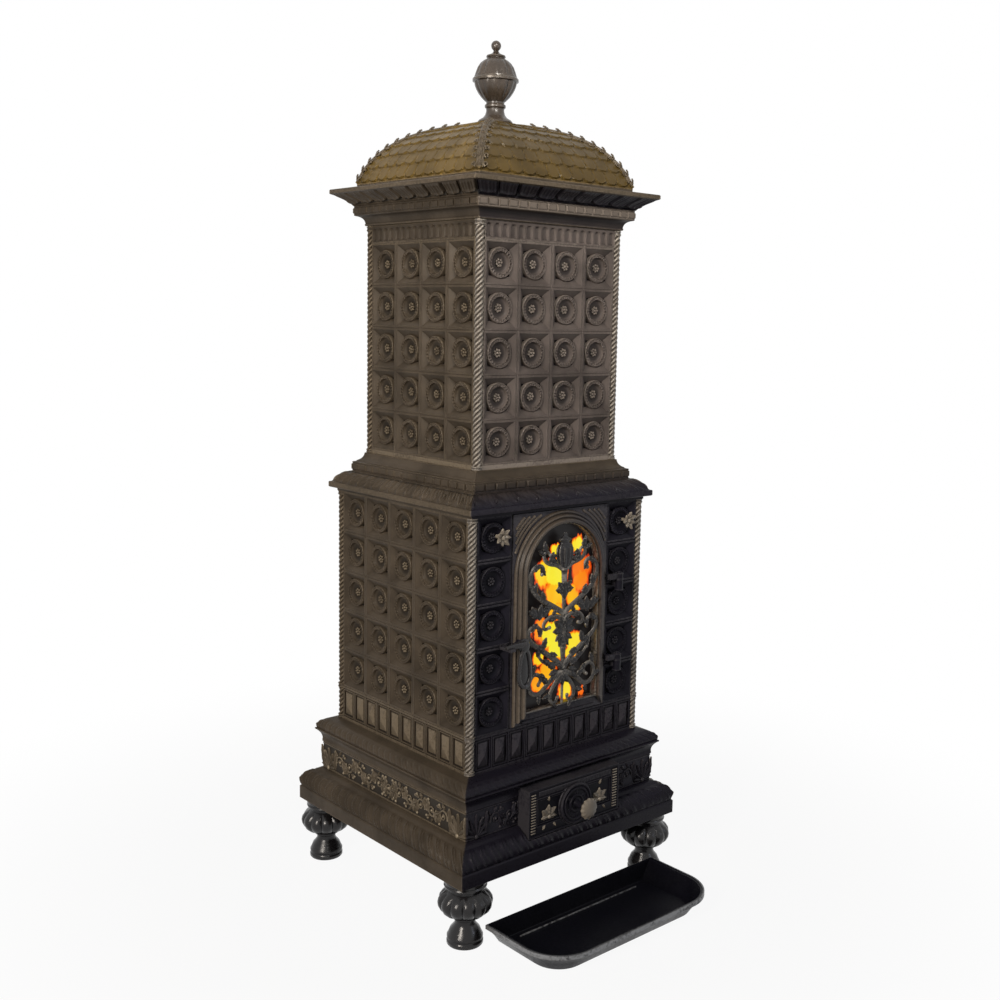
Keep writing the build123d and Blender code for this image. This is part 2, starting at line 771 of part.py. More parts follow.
# ---- ash drawer --------------------------------------------------------------------------------------
def ash_drawer_front():
    """A deep box front, open behind, with a sunk field and slots behind the regulator."""
    half = drawer_half_width
    front = -drawer_face
    back = -frieze_face - seat_gap
    shell = block((-half, half), (front, back), (drawer_bottom, drawer_top))
    wall = drawer_front_wall
    shell -= block((-half + wall, half - wall), (front + wall + drawer_field_depth, back + 1),
                   (drawer_bottom + wall, drawer_top - wall))
    shell -= block((-half + drawer_border, half - drawer_border), (front - 1, front + drawer_field_depth),
                   (drawer_bottom + drawer_border / 2, drawer_top - drawer_border))
    shell += prism(16, regulator_radius - drawer_field_depth, front, front + wall + drawer_field_depth, "Y",
                   (0, regulator_z))
    return shell - regulator_openings(front - 1, front + 2 * wall) - regulator_bore(front - 1, front + 2 * wall)


def regulator_openings(start, end):
    """The ring of air slots, cut through between two limits of y."""
    slots = []
    for index in range(regulator_slots):
        angle = math.radians(360 / regulator_slots * index)
        x = regulator_slot_radius * math.cos(angle)
        z = regulator_z + regulator_slot_radius * math.sin(angle)
        slots.append(prism(4, regulator_slot_width / 2, start, end, "Y", (x, z)))
    return slots


def regulator_bore(start, end):
    return cylinder(screw_radius + running_clearance, start, end, "Y", (0, regulator_z))


def air_regulator():
    """The rosette that turns on the drawer front, with the shell-shaped knob that pulls the drawer."""
    back = -drawer_face - seat_gap
    disc = prism(20, regulator_radius, back - regulator_thickness, back, "Y", (0, regulator_z))
    knob = Pos(0, back, regulator_z) * Rot(90, 0, 0) * turned(knob_profile, 8, 0)
    disc = disc - regulator_openings(back - 2 * regulator_thickness, back + 1)
    return disc + knob - regulator_bore(back - screw_grip - seat_gap, back + 1)


def regulator_screw():
    """The screw that the regulator turns on, held by the drawer front."""
    back = -drawer_face
    head_back = back + drawer_front_wall + drawer_field_depth
    shank = cylinder(screw_radius, back - screw_grip, head_back, "Y", (0, regulator_z))
    return shank + prism(6, 2 * screw_radius, head_back, head_back + screw_head, "Y", (0, regulator_z))


def ash_pan():
    """The open pan behind the drawer front; it rides on the runners."""
    half = pan_half_width
    front = -frieze_face - seat_gap
    low = runner_top + seat_gap
    pan = block((-half, half), (front, front + pan_length), (low, low + pan_height))
    return pan - block((-half + pan_wall, half - pan_wall), (front + pan_wall, front + pan_length - pan_wall),
                       (low + pan_wall, low + pan_height + 1))


def drawer_runners():
    """Two rails under the pan, from the front frieze to the rear one."""
    rails = []
    for sign in (-1, 1):
        x = sign * (pan_half_width - runner_width)
        rails.append(block((x - runner_width / 2, x + runner_width / 2),
                           (-frieze_face + frieze_plate, frieze_face - frieze_plate),
                           (ash_floor_top, runner_top)))
    return Part() + rails


def ash_pit_floor():
    """The plate inside the base friezes that closes the ash pit; it lies on the plinth's top flange."""
    return square_block(frieze_face - frieze_plate - seat_gap, (frieze_z, ash_floor_top))


# ---- inside the casing -------------------------------------------------------------------------------
def hearth_plate():
    low = lower_z - hearth_plate_thickness
    plate = square_block(hearth_plate_half, (low, lower_z))
    plate -= rod_holes(lower_z)
    plate -= block((-grate_width / 2, grate_width / 2), (-grate_depth / 2, grate_depth / 2),
                   (low - 1, lower_z + 1))
    wide = grate_width / 2 + grate_ledge
    deep = grate_depth / 2 + grate_ledge
    return plate - block((-wide, wide), (-deep, deep), (lower_z - hearth_ledge, lower_z + 1))


def fire_grate():
    """The slotted grate that drops into the hearth plate."""
    wide = grate_width / 2 + grate_ledge - 2 * hole_clearance
    deep = grate_depth / 2 + grate_ledge - 2 * hole_clearance
    low = lower_z - hearth_ledge
    grate = block((-wide, wide), (-deep, deep), (low, low + grate_thickness))
    count = int((grate_width - grate_bar) / (grate_bar + grate_gap))
    slots = []
    for index in range(count):
        x = (index - (count - 1) / 2) * (grate_bar + grate_gap)
        slots.append(block((x - grate_gap / 2, x + grate_gap / 2),
                           (-grate_depth / 2 + grate_bar, grate_depth / 2 - grate_bar),
                           (low - 1, low + grate_thickness + 1)))
    return grate - slots


def firebrick(side):
    """A lining that stands on the hearth plate against one side of the casing."""
    outer = lower_field - frieze_corner_wall - seat_gap
    reach = rod_line - rod_edge
    if side == "rear":
        reach = outer - brick_thickness - seat_gap
    else:
        reach = min(reach, outer)
    brick = block((-reach, reach), (-outer, -outer + brick_thickness), (lower_z, lower_z + brick_height))
    return turned_about_axis(brick, side_angles[side])


def tie_rods():
    """Four long bolts with nuts that clamp the lower casing between base cap and middle cornice."""
    ledge_z = lower_z - 2 * hearth_plate_thickness
    flange_top = mid_z + moulding_wall
    pieces = []
    for x, y in corners(rod_line):
        rod = prism(6, tie_rod_radius, ledge_z - nut_height - rod_end, flange_top, "Z", (x, y))
        pieces.append(rod + prism(6, nut_radius, flange_top, flange_top + nut_height, "Z", (x, y)))
        pieces.append(hex_nut(ledge_z - nut_height, tie_rod_radius, (x, y)))
    return Compound(children=pieces)


def mid_cornice():
    steps = [
        (lower_face + column_proud, mid_slab_z),
        (mid_slab_half, mid_slab_z),
        (mid_slab_half, mid_leaf_z),
        (mid_block_half + mid_leaf_spread, mid_leaf_z + 0.55 * mid_leaf,
         mid_block_half + mid_leaf_neck, mid_block_z),
        (mid_block_half, mid_block_z),
        (mid_block_half, mid_step_z),
        (upper_face + 0.35 * mid_block_reach, mid_step_z + 0.4 * mid_step,
         upper_face + column_proud, upper_z),
    ]
    clear_half = upper_inner - baffle_ledge
    ring = hollow_moulding((lower_face + column_proud, mid_z), steps, moulding_wall, clear_half)
    floor = square_block(rod_line + rod_edge, (mid_z, mid_z + moulding_wall))
    floor -= square_block(clear_half, (mid_z - 1, mid_z + 2 * moulding_wall))
    return ring + floor - rod_holes(mid_z)


def smoke_baffle():
    """The plate over the fire, with a throat at the back where the smoke goes up."""
    half = min(upper_field, upper_inner) - hole_clearance
    back = upper_inner - baffle_ledge
    plate = square_block(half, (upper_z, upper_z + baffle_thickness))
    return plate - block((-baffle_throat_half, baffle_throat_half), (back - baffle_throat, back),
                         (upper_z - 1, upper_z + 2 * baffle_thickness))


# ---- upper casing ------------------------------------------------------------------------------------
def upper_panel(side):
    make_panel = plain_panel if side == "rear" else tiled_panel
    panel = make_panel(upper_face, (-upper_field, upper_field), (upper_z, crown_z), upper_tiles_z)
    if side == "rear":
        panel += block((-flue_flange / 2, flue_flange / 2), (-upper_face, -upper_face + panel_thickness),
                       (flue_z - flue_flange / 2, flue_z + flue_flange / 2))
        panel -= prism(12, flue_radius + flue_hole_clearance, -upper_face - 1, 0, "Y", (0, flue_z))
        panel -= flue_bolt_holes()
    return turned_about_axis(panel, side_angles[side])


def flue_bolt_points():
    return [(x, flue_z + z) for x, z in corners(flue_flange / 2 - flue_bolt_inset)]


def flue_bolt_holes():
    return [prism(4, square_hole * flue_bolt_radius, -upper_face - flue_length, 0, "Y", point)
            for point in flue_bolt_points()]


def flue_collar():
    """The socket on the rear panel that takes the stove pipe."""
    flange = block((-flue_flange / 2, flue_flange / 2), (-upper_face - flue_wall, -upper_face),
                   (flue_z - flue_flange / 2, flue_z + flue_flange / 2))
    tube = prism(24, flue_radius + flue_wall, -upper_face - flue_length, -upper_face, "Y", (0, flue_z))
    collar = flange + tube - cylinder(flue_radius, -upper_face - flue_length - 1, 0, "Y", (0, flue_z))
    return turned_about_axis(collar - flue_bolt_holes(), side_angles["rear"])


def flue_collar_bolts():
    bolts = []
    for x, z in flue_bolt_points():
        seat = -upper_face - flue_wall
        shank = prism(6, flue_bolt_radius, seat, -upper_inner, "Y", (x, z))
        head = prism(6, 1.8 * flue_bolt_radius, seat - 1.2 * flue_bolt_radius, seat, "Y", (x, z))
        bolts.append(turned_about_axis(shank + head, side_angles["rear"]))
    return Part() + bolts


# ---- crown -------------------------------------------------------------------------------------------
def crown_cornice():
    """The cornice of the lid, with a lip below that keeps it in place on the upper casing."""
    foot_half = upper_face + column_proud
    base = crown_z + seat_gap
    steps = [
        (foot_half + crown_cove_neck, crown_z + 0.65 * crown_cove, crown_block_half, crown_block_z),
        (crown_block_half, crown_leaf_z),
        (crown_block_half + crown_leaf_spread, crown_leaf_z + 0.62 * crown_leaf,
         crown_slab_half - crown_leaf_lip, crown_slab_z),
        (crown_slab_half, crown_slab_z),
        (crown_slab_half, roof_seat_z),
        (roof_half, roof_seat_z + 0.2 * roof_seat),
        (roof_half, roof_z),
    ]
    opening = upper_inner - lid_clearance - lid_lip_wall
    ring = hollow_moulding((foot_half, base), steps, moulding_wall, opening)
    lip = square_block(min(upper_field, upper_inner) - lid_clearance, (crown_z - lid_lip_depth, base + 1))
    lip -= square_block(opening, (crown_z - lid_lip_depth - 1, base + 2))
    return ring + lip


def roof_outline(half, rise):
    """The roof's section: a flat crown arc that runs on into tighter shoulders."""
    crown_reach = roof_crown_share * half
    drop = roof_crown_drop * rise / roof_rise
    crown_arc = TangentArc((0, rise), (crown_reach, rise - drop), tangent=(1, 0))
    shoulder = TangentArc((crown_reach, rise - drop), (half, 0), tangent=crown_arc % 1)
    side = make_face([crown_arc, shoulder, Line((half, 0), (0, 0)), Line((0, 0), (0, rise))])
    return side + mirror(side, about=Plane.YZ)


def roof_core():
    """The hollow under the roof: flat facets that keep the wall's thickness from the curved outside."""
    rows = []
    for share, level in roof_core_rows:
        half = share * (roof_half - roof_wall)
        rows.append([(x, y, level * (roof_rise - roof_wall)) for x, y in corners(half)])
    return Part() + [ConvexPolyhedron(low + high) for low, high in zip(rows, rows[1:])]


def roof_dome():
    """A four-sided curved roof with a raised rib on each hip, hollow from below."""
    outside = mitred(roof_outline(roof_half, roof_rise))
    inside = roof_core()
    over = mitred(roof_outline(roof_half + hip_rib_proud, roof_rise + hip_rib_proud))
    hips = Rot(0, 0, 45) * Box(4 * roof_half, hip_rib_width, 4 * roof_rise)
    hips += Rot(0, 0, -45) * Box(4 * roof_half, hip_rib_width, 4 * roof_rise)
    ribs = over & hips
    ribs -= square_block(roof_pad - hip_rib_width / 2, (roof_rise - hip_rib_proud, 2 * roof_rise))
    pad = square_block(roof_pad, (roof_rise - roof_wall, roof_rise))
    dome = outside + ribs + pad - inside
    dome += prism(4, nut_radius + roof_boss, roof_rise - roof_wall - roof_boss, roof_rise)
    dome -= prism(4, square_hole * finial_rod_radius, 0, 2 * roof_rise)
    return Pos(0, 0, roof_z) * dome


def finial_base():
    base = turned(finial_base_profile, finial_sides, finial_seat)
    return base - prism(6, finial_rod_radius, finial_seat - 1, rod_top)


def finial_top():
    top = turned(finial_top_profile, finial_sides, finial_split)
    return top - prism(6, finial_rod_radius, finial_split - 1, rod_top)


def finial_rod():
    """The rod that clamps the finial to the roof, with its nut below."""
    low = finial_z - roof_wall - roof_boss
    rod = prism(6, finial_rod_radius, low - nut_height - rod_end, rod_top)
    return Compound(children=[rod, hex_nut(low - nut_height, finial_rod_radius, (0, 0))])


# ---- hearth tray -------------------------------------------------------------------------------------
def tray_plan(inset, z):
    """The tray's edge seen from above, drawn in by a margin: a straight back and rounded front corners."""
    half = tray_half_width - inset
    front = -tray_back - tray_depth + inset
    radius = tray_corner_radius - inset
    points = [(half, -tray_back, z), (-half, -tray_back, z)]
    for step in range(tray_corner_facets + 1):
        turn = math.pi / 2 * step / tray_corner_facets
        x = half - radius + radius * math.sin(turn)
        y = front + radius - radius * math.cos(turn)
        points += [(x, y, z), (-x, y, z)]
    return points


def tray_solid(low_inset, low_z, high_inset, high_z):
    """A solid between the tray's edge at two levels."""
    return ConvexPolyhedron(tray_plan(low_inset, low_z) + tray_plan(high_inset, high_z))


def hearth_tray():
    """The loose tray on the floor that catches embers, with a ridge along its floor."""
    rim_z = tray_height - tray_rim_height
    body = tray_solid(tray_wall + tray_spread, 0, tray_wall, rim_z) + tray_solid(0, rim_z, 0, tray_height)
    hollow = tray_solid(2 * tray_wall + tray_spread, tray_wall, 2 * tray_wall, tray_height + seat_gap)
    hollow -= block((-tray_half_width, tray_half_width), (-tray_back - tray_wall, 1), (0, 2 * tray_height))
    ridge_y = -tray_back - 4 * tray_wall
    ridge = block((-0.75 * tray_half_width, 0.75 * tray_half_width), (ridge_y - tray_ridge_height, ridge_y),
                  (tray_wall, tray_wall + tray_ridge_height))
    return body - hollow + ridge


# ---- every piece, by node name -----------------------------------------------------------------------
pieces = {}
for corner, angle in corner_angles.items():
    pieces["foot_" + corner] = turned_about_axis(Pos(-foot_centre, -foot_centre, 0) * foot(), angle)
foot_nut = hex_nut(plinth_z + moulding_wall, foot_stud_radius, (-foot_centre, -foot_centre))
pieces["foot_nuts"] = Part() + [turned_about_axis(foot_nut, angle) for angle in corner_angles.values()]
pieces["plinth"] = plinth()
for side in side_angles:
    pieces["base_frieze_" + side] = base_frieze(side)
pieces["base_cap"] = base_cap()
pieces["ash_pit_floor"] = ash_pit_floor()
pieces["drawer_runners"] = drawer_runners()
pieces["hearth_plate"] = hearth_plate()
pieces["fire_grate"] = fire_grate()
for side in ("left", "right", "rear"):
    pieces["firebrick_" + side] = firebrick(side)
    pieces["lower_panel_" + side] = lower_panel(side)
pieces["lower_frieze"] = lower_frieze()
pieces["front_pier_left"] = front_pier(-1)
pieces["front_pier_right"] = front_pier(1)
pieces["door_frame"] = door_frame()
pieces["tie_rods"] = tie_rods()
pieces["mid_cornice"] = mid_cornice()
pieces["smoke_baffle"] = smoke_baffle()
for side in side_angles:
    pieces["upper_panel_" + side] = upper_panel(side)
lower_column = rope_column(lower_field, (lower_z, mid_z), (lower_z, tiles_z))
upper_column = rope_column(upper_field, (upper_z, crown_z), [upper_z])
for corner, angle in corner_angles.items():
    pieces["lower_column_" + corner] = turned_about_axis(lower_column, angle)
    pieces["upper_column_" + corner] = turned_about_axis(upper_column, angle)
pieces["flue_collar"] = flue_collar()
pieces["flue_collar_bolts"] = flue_collar_bolts()
pieces["crown_cornice"] = crown_cornice()
pieces["roof_dome"] = roof_dome()
pieces["finial_base"] = finial_base()
pieces["finial_top"] = finial_top()
pieces["finial_rod"] = finial_rod()
pieces["door_plate"] = door_plate()
pieces["door_grille"] = door_grille()
pieces["mica_panes"] = mica_panes()
pieces["mica_retainer"] = mica_retainer()
pieces["hinge_brackets"] = hinge_brackets()
pieces["latch_keeper"] = latch_keeper()
pieces["latch_handle"] = latch_handle()
pieces["handle_washer"] = handle_washer()
pieces["ash_drawer_front"] = ash_drawer_front()
pieces["ash_pan"] = ash_pan()
pieces["air_regulator"] = air_regulator()
pieces["regulator_screw"] = regulator_screw()
pieces["hearth_tray"] = hearth_tray()

os.makedirs("parts", exist_ok=True)
for name, piece in pieces.items():
    export_step(piece, "parts/" + name + ".step")
print(len(pieces), "nodes")
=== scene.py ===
# %% [markdown]
# # A cast-iron tiled stove
# The real stove is a tower of thin iron castings held together by long bolts: a base on four turned feet,
# a fire chamber and a chimney chamber whose walls are cast like small tiles, cornices between them and a
# curved roof with a finial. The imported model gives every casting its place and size. This lesson dresses
# each casting with its ornament and its finish, and never moves or resizes it.

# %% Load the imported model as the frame
import bmesh
import bpy
import math
from mathutils import Matrix, Vector


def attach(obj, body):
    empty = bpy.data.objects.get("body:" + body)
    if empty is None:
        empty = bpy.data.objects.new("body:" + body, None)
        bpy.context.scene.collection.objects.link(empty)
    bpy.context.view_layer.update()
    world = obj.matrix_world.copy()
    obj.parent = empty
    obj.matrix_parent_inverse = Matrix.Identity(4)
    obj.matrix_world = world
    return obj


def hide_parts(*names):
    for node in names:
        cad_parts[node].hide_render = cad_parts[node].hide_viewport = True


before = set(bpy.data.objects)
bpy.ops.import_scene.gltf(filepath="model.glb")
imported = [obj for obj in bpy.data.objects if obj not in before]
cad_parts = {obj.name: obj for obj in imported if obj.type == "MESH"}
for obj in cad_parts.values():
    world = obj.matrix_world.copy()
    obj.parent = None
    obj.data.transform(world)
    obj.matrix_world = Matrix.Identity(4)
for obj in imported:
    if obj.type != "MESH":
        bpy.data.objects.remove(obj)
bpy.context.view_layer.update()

# %% [markdown]
# ## The camera
# The stove is seen from its left front corner, from a little above its middle. A long lens would hide the
# side, so the lens is a normal one, and a small shift puts the tower where the picture has it. The matrix
# is built from the yaw, pitch and roll of a person holding the camera, which is easier to adjust than a
# quaternion.

# %% Place the camera
MM = 0.001
eye = Vector((-1625.3, -1979.6, 1199.3)) * MM
yaw, pitch, roll = (math.radians(angle) for angle in (42.32, 7.21, 1.23))
ahead = Vector((math.sin(yaw) * math.cos(pitch), math.cos(yaw) * math.cos(pitch), -math.sin(pitch)))
right = Vector((math.cos(yaw), -math.sin(yaw), 0))
above = right.cross(ahead)
level_right = math.cos(roll) * right + math.sin(roll) * above
level_above = math.cos(roll) * above - math.sin(roll) * right
camera = bpy.data.objects.new("camera", bpy.data.cameras.new("camera"))
bpy.context.scene.collection.objects.link(camera)
facing = Matrix((level_right, level_above, -ahead)).transposed().to_4x4()
camera.matrix_world = Matrix.Translation(eye) @ facing
camera.data.lens = 43.56
camera.data.shift_x = -0.0513
camera.data.shift_y = -0.0294
bpy.context.scene.camera = camera
bpy.context.scene.view_settings.view_transform = "Standard"
print("camera at", [round(value, 3) for value in eye])

# %% [markdown]
# ## Finishes as expressions
# A finish is a small graph of nodes. Written as Python expressions such as `1 - wear * 0.4` it can be read
# like the sentence it stands for. One class wraps a socket and adds a Math node for each operator, and one
# method of the finish adds every other node.

# %% A socket that can be used in sums
class Shade:
    """A number, colour or place that varies over a surface."""

    def __init__(self, graph, socket):
        self.graph = graph
        self.socket = socket

    def sum_with(self, operation, *values):
        return self.graph.node("Math", {"operation": operation}, dict(enumerate(values)))

    def __add__(self, other):
        return self.sum_with("ADD", self, other)

    def __sub__(self, other):
        return self.sum_with("SUBTRACT", self, other)

    def __rsub__(self, other):
        return self.sum_with("SUBTRACT", other, self)

    def __mul__(self, other):
        return self.sum_with("MULTIPLY", self, other)

    def __neg__(self):
        return 0 - self

    def __abs__(self):
        return self.sum_with("ABSOLUTE", self)

    def at_least(self, other):
        return self.sum_with("MAXIMUM", self, other)

    __radd__ = __add__
    __rmul__ = __mul__


print("a shade can be added, taken away and multiplied")

# %% A graph that takes any node
class Graph:
    """The nodes of a material or of the world."""

    def __init__(self, tree):
        self.tree = tree

    def put(self, socket, value):
        if isinstance(value, Shade):
            self.tree.links.new(value.socket, socket)
        else:
            socket.default_value = value

    def node(self, kind, settings=None, inputs=None, out=0):
        """Adds a node: its settings first, then the values or links of its sockets."""
        node = self.tree.nodes.new("ShaderNode" + kind)
        for key, value in (settings or {}).items():
            if key == "stops":
                ramp = node.color_ramp
                ramp.elements[0].position, ramp.elements[0].color = value[0]
                ramp.elements[1].position, ramp.elements[1].color = value[-1]
                for position, colour in value[1:-1]:
                    ramp.elements.new(position).color = colour
            else:
                setattr(node, key, value)
        for key, value in (inputs or {}).items():
            self.put(node.inputs[key], value)
        return Shade(self, node.outputs[out])

    def place(self, scale=(1, 1, 1)):
        """The object's own coordinates in metres, stretched for a pattern."""
        where = self.node("TexCoord", out="Object")
        return self.node("Mapping", {}, {"Vector": where, "Scale": scale})

    def axis(self, name):
        """One of the object's own coordinates as a number."""
        return self.node("SeparateXYZ", {}, {"Vector": self.place()}, out=name)

    def noise(self, scale, detail=3.0, stretch=(1, 1, 1), roughness=0.55):
        return self.node("TexNoise", {}, {"Vector": self.place(stretch), "Scale": scale, "Detail": detail,
                                          "Roughness": roughness})

    def between(self, value, low, high):
        """0 below low, 1 above high, smooth between."""
        return self.node("MapRange", {"interpolation_type": "SMOOTHSTEP"},
                         {"Value": value, "From Min": low, "From Max": high})

    def band(self, value, start, full, fade, end):
        """Rises from start to full and falls back from fade to end."""
        return self.between(value, start, full) * (1 - self.between(value, fade, end))

    def blend(self, factor, first, second):
        return self.node("Mix", {"data_type": "RGBA"}, {0: factor, 6: first, 7: second}, out=2)


print("a graph adds every other node")

# %% A material with its graph
class Finish(Graph):
    """A material and the nodes that mix it."""

    def __init__(self, name, **constants):
        self.material = bpy.data.materials.new(name)
        self.material.use_nodes = True
        super().__init__(self.material.node_tree)
        self.shader = self.tree.nodes["Principled BSDF"]
        for socket, value in constants.items():
            self.shader.inputs[socket.replace("_", " ")].default_value = value

    def surface(self, **values):
        for name, value in values.items():
            self.put(self.shader.inputs[name.replace("_", " ")], value)

    def bump(self, height, distance, strength=0.6):
        normal = self.node("Bump", {}, {"Height": height, "Distance": distance, "Strength": strength})
        self.put(self.shader.inputs["Normal"], normal)


def rgb(red, green, blue):
    return (red, green, blue, 1.0)


print("a finish is a material with its graph")

# %% [markdown]
# ## Stove polish on cast iron
# Cast iron is rough from its sand mould. Stove polish, graphite in oil, fills it and is brushed to a dull
# shine. Hollows are darkened, partly for the polish left in them and partly as painted shade, and crests
# are lightened, partly for the metal worn bare and partly as a painted highlight. Two things make it: a mask
# from Pointiness, which is high on crests and low in hollows, and patchy noise that breaks both up. Some
# places are darker still, all as painted shade: the front below the middle cornice with the crown's lotus
# leaves and neck, the grounds of the tiles, the right half of the door's reeds and the roof's front slope.
# Each is a mask from the object's own coordinates, so it stays on the iron from wherever it is seen.

# %% Find the places that differ
LOWER_FACE, UPPER_FACE, STEP_LEVEL = 228.0, 185.0, 865.0
NECK_BAND = (1.381, 1.3825, 1.399, 1.4005)
BLOCK_BAND = (1.4005, 1.4015, 1.420, 1.421)
LOTUS_BAND = (1.420, 1.422, 1.4425, 1.444)
FRONT_SHADE_BELOW = (0.838, 0.900)


def front_side(finish):
    """1 on what lies before both diagonals of the tower, which is its front."""
    return finish.between(-finish.axis("Y") - abs(finish.axis("X")), -0.003, 0.003)


def tile_ground_shade(finish):
    """Painted shade: 1 where the iron lies deeper than the tiles' slopes, measured from the wall of its tier.
    """
    reach = abs(finish.axis("X")).at_least(abs(finish.axis("Y")))
    upstairs = finish.between(finish.axis("Z"), (STEP_LEVEL - 1) * MM, STEP_LEVEL * MM)
    wall = LOWER_FACE * MM - (LOWER_FACE - UPPER_FACE) * MM * upstairs
    return finish.between(wall - reach, 0.0095, 0.0115)


def front_shade_and_block_masks(finish):
    """Painted shade: 1 on the lower front, less on the crown's lotus leaves and neck; and 1 on the crown's
    blocks on the front, which are made lighter.
    """
    front, up = front_side(finish), finish.axis("Z")
    crown = finish.band(up, *LOTUS_BAND) + 0.7 * finish.band(up, *NECK_BAND)
    lower = 1 - finish.between(up, *FRONT_SHADE_BELOW)
    return front * (lower + crown * 0.9), front * finish.band(up, *BLOCK_BAND)


# The front is darkened as painted shade up to this height.
print("fresh blacking reaches up to", FRONT_SHADE_BELOW[0], "m")

# %% Write the recipe of cast iron
def cast_iron(name, deep, body, crest, rough=(0.36, 0.54), gloss=0.08, shine=0.3, crest_share=0.6, front_shade_and_blocks=False,
              walls=False, shaded_right_half=False, shaded=0.0):
    """Darker hollows and lighter crests, partly polish and wear and partly painted shade and highlight, on a
    patchy body.
    """
    finish = Finish(name, Specular_IOR_Level=gloss)
    patch = finish.noise(14.0, 4.0)
    fleck = finish.noise(190.0, 3.0)
    sand = finish.noise(900.0, 2.0)
    edge = finish.node("NewGeometry", out="Pointiness")
    # Crests lighter: partly metal worn through the polish, partly a painted highlight.
    wear_and_highlight = finish.between(edge + fleck * 0.05, 0.55, 0.63) * finish.between(fleck + patch, 0.6, 1.1)
    # Hollows darker: partly polish left in them, partly painted shade.
    hollow = 1 - finish.between(edge + patch * 0.02, 0.41, 0.50)
    dull = rgb(*(0.62 * value for value in body[:3]))
    tone = finish.blend(finish.between(patch, 0.35, 0.7), body, dull)
    low, high = rough
    roughness = low + (high - low) * finish.between(fleck + patch, 0.7, 1.3)
    if front_shade_and_blocks:
        front, blocks = front_shade_and_block_masks(finish)
        # Painted shade on the front: blue-black, with darker and duller crests; the crown's blocks there are
        # made lighter.
        tone = finish.blend(front * 0.92, tone, rgb(0.009, 0.0085, 0.016))
        tone = finish.blend(blocks * 0.8, tone, rgb(0.150, 0.125, 0.105))
        crest = finish.blend(front * 0.9, crest, rgb(0.090, 0.085, 0.098))
        wear_and_highlight = wear_and_highlight * (1 - front * 0.5)
        roughness = roughness - front * 0.12
    if walls:
        # Painted shade in the deep grounds of the tiles.
        tone = finish.blend(tile_ground_shade(finish) * 0.6, tone, deep)
    # Painted shade on the front side, which the roof's front slope gets.
    if shaded:
        tone = finish.blend(front_side(finish) * shaded, tone, deep)
    # Painted shade: the right half is darkened to blue-black.
    if shaded_right_half:
        right_half = finish.between(finish.axis("X"), -0.04, 0.08)
        tone = finish.blend(right_half * 0.85, tone, rgb(0.012, 0.011, 0.017))
    tone = finish.blend(wear_and_highlight * crest_share, tone, crest)
    tone = finish.blend(hollow * 0.85, tone, deep)
    finish.surface(Base_Color=tone, Metallic=wear_and_highlight * shine, Roughness=roughness)
    finish.bump(sand * 0.5 + fleck, 0.0006, 0.4)
    return finish.material


print("cast iron is mixed from the colours of its hollows, its body and its crests")

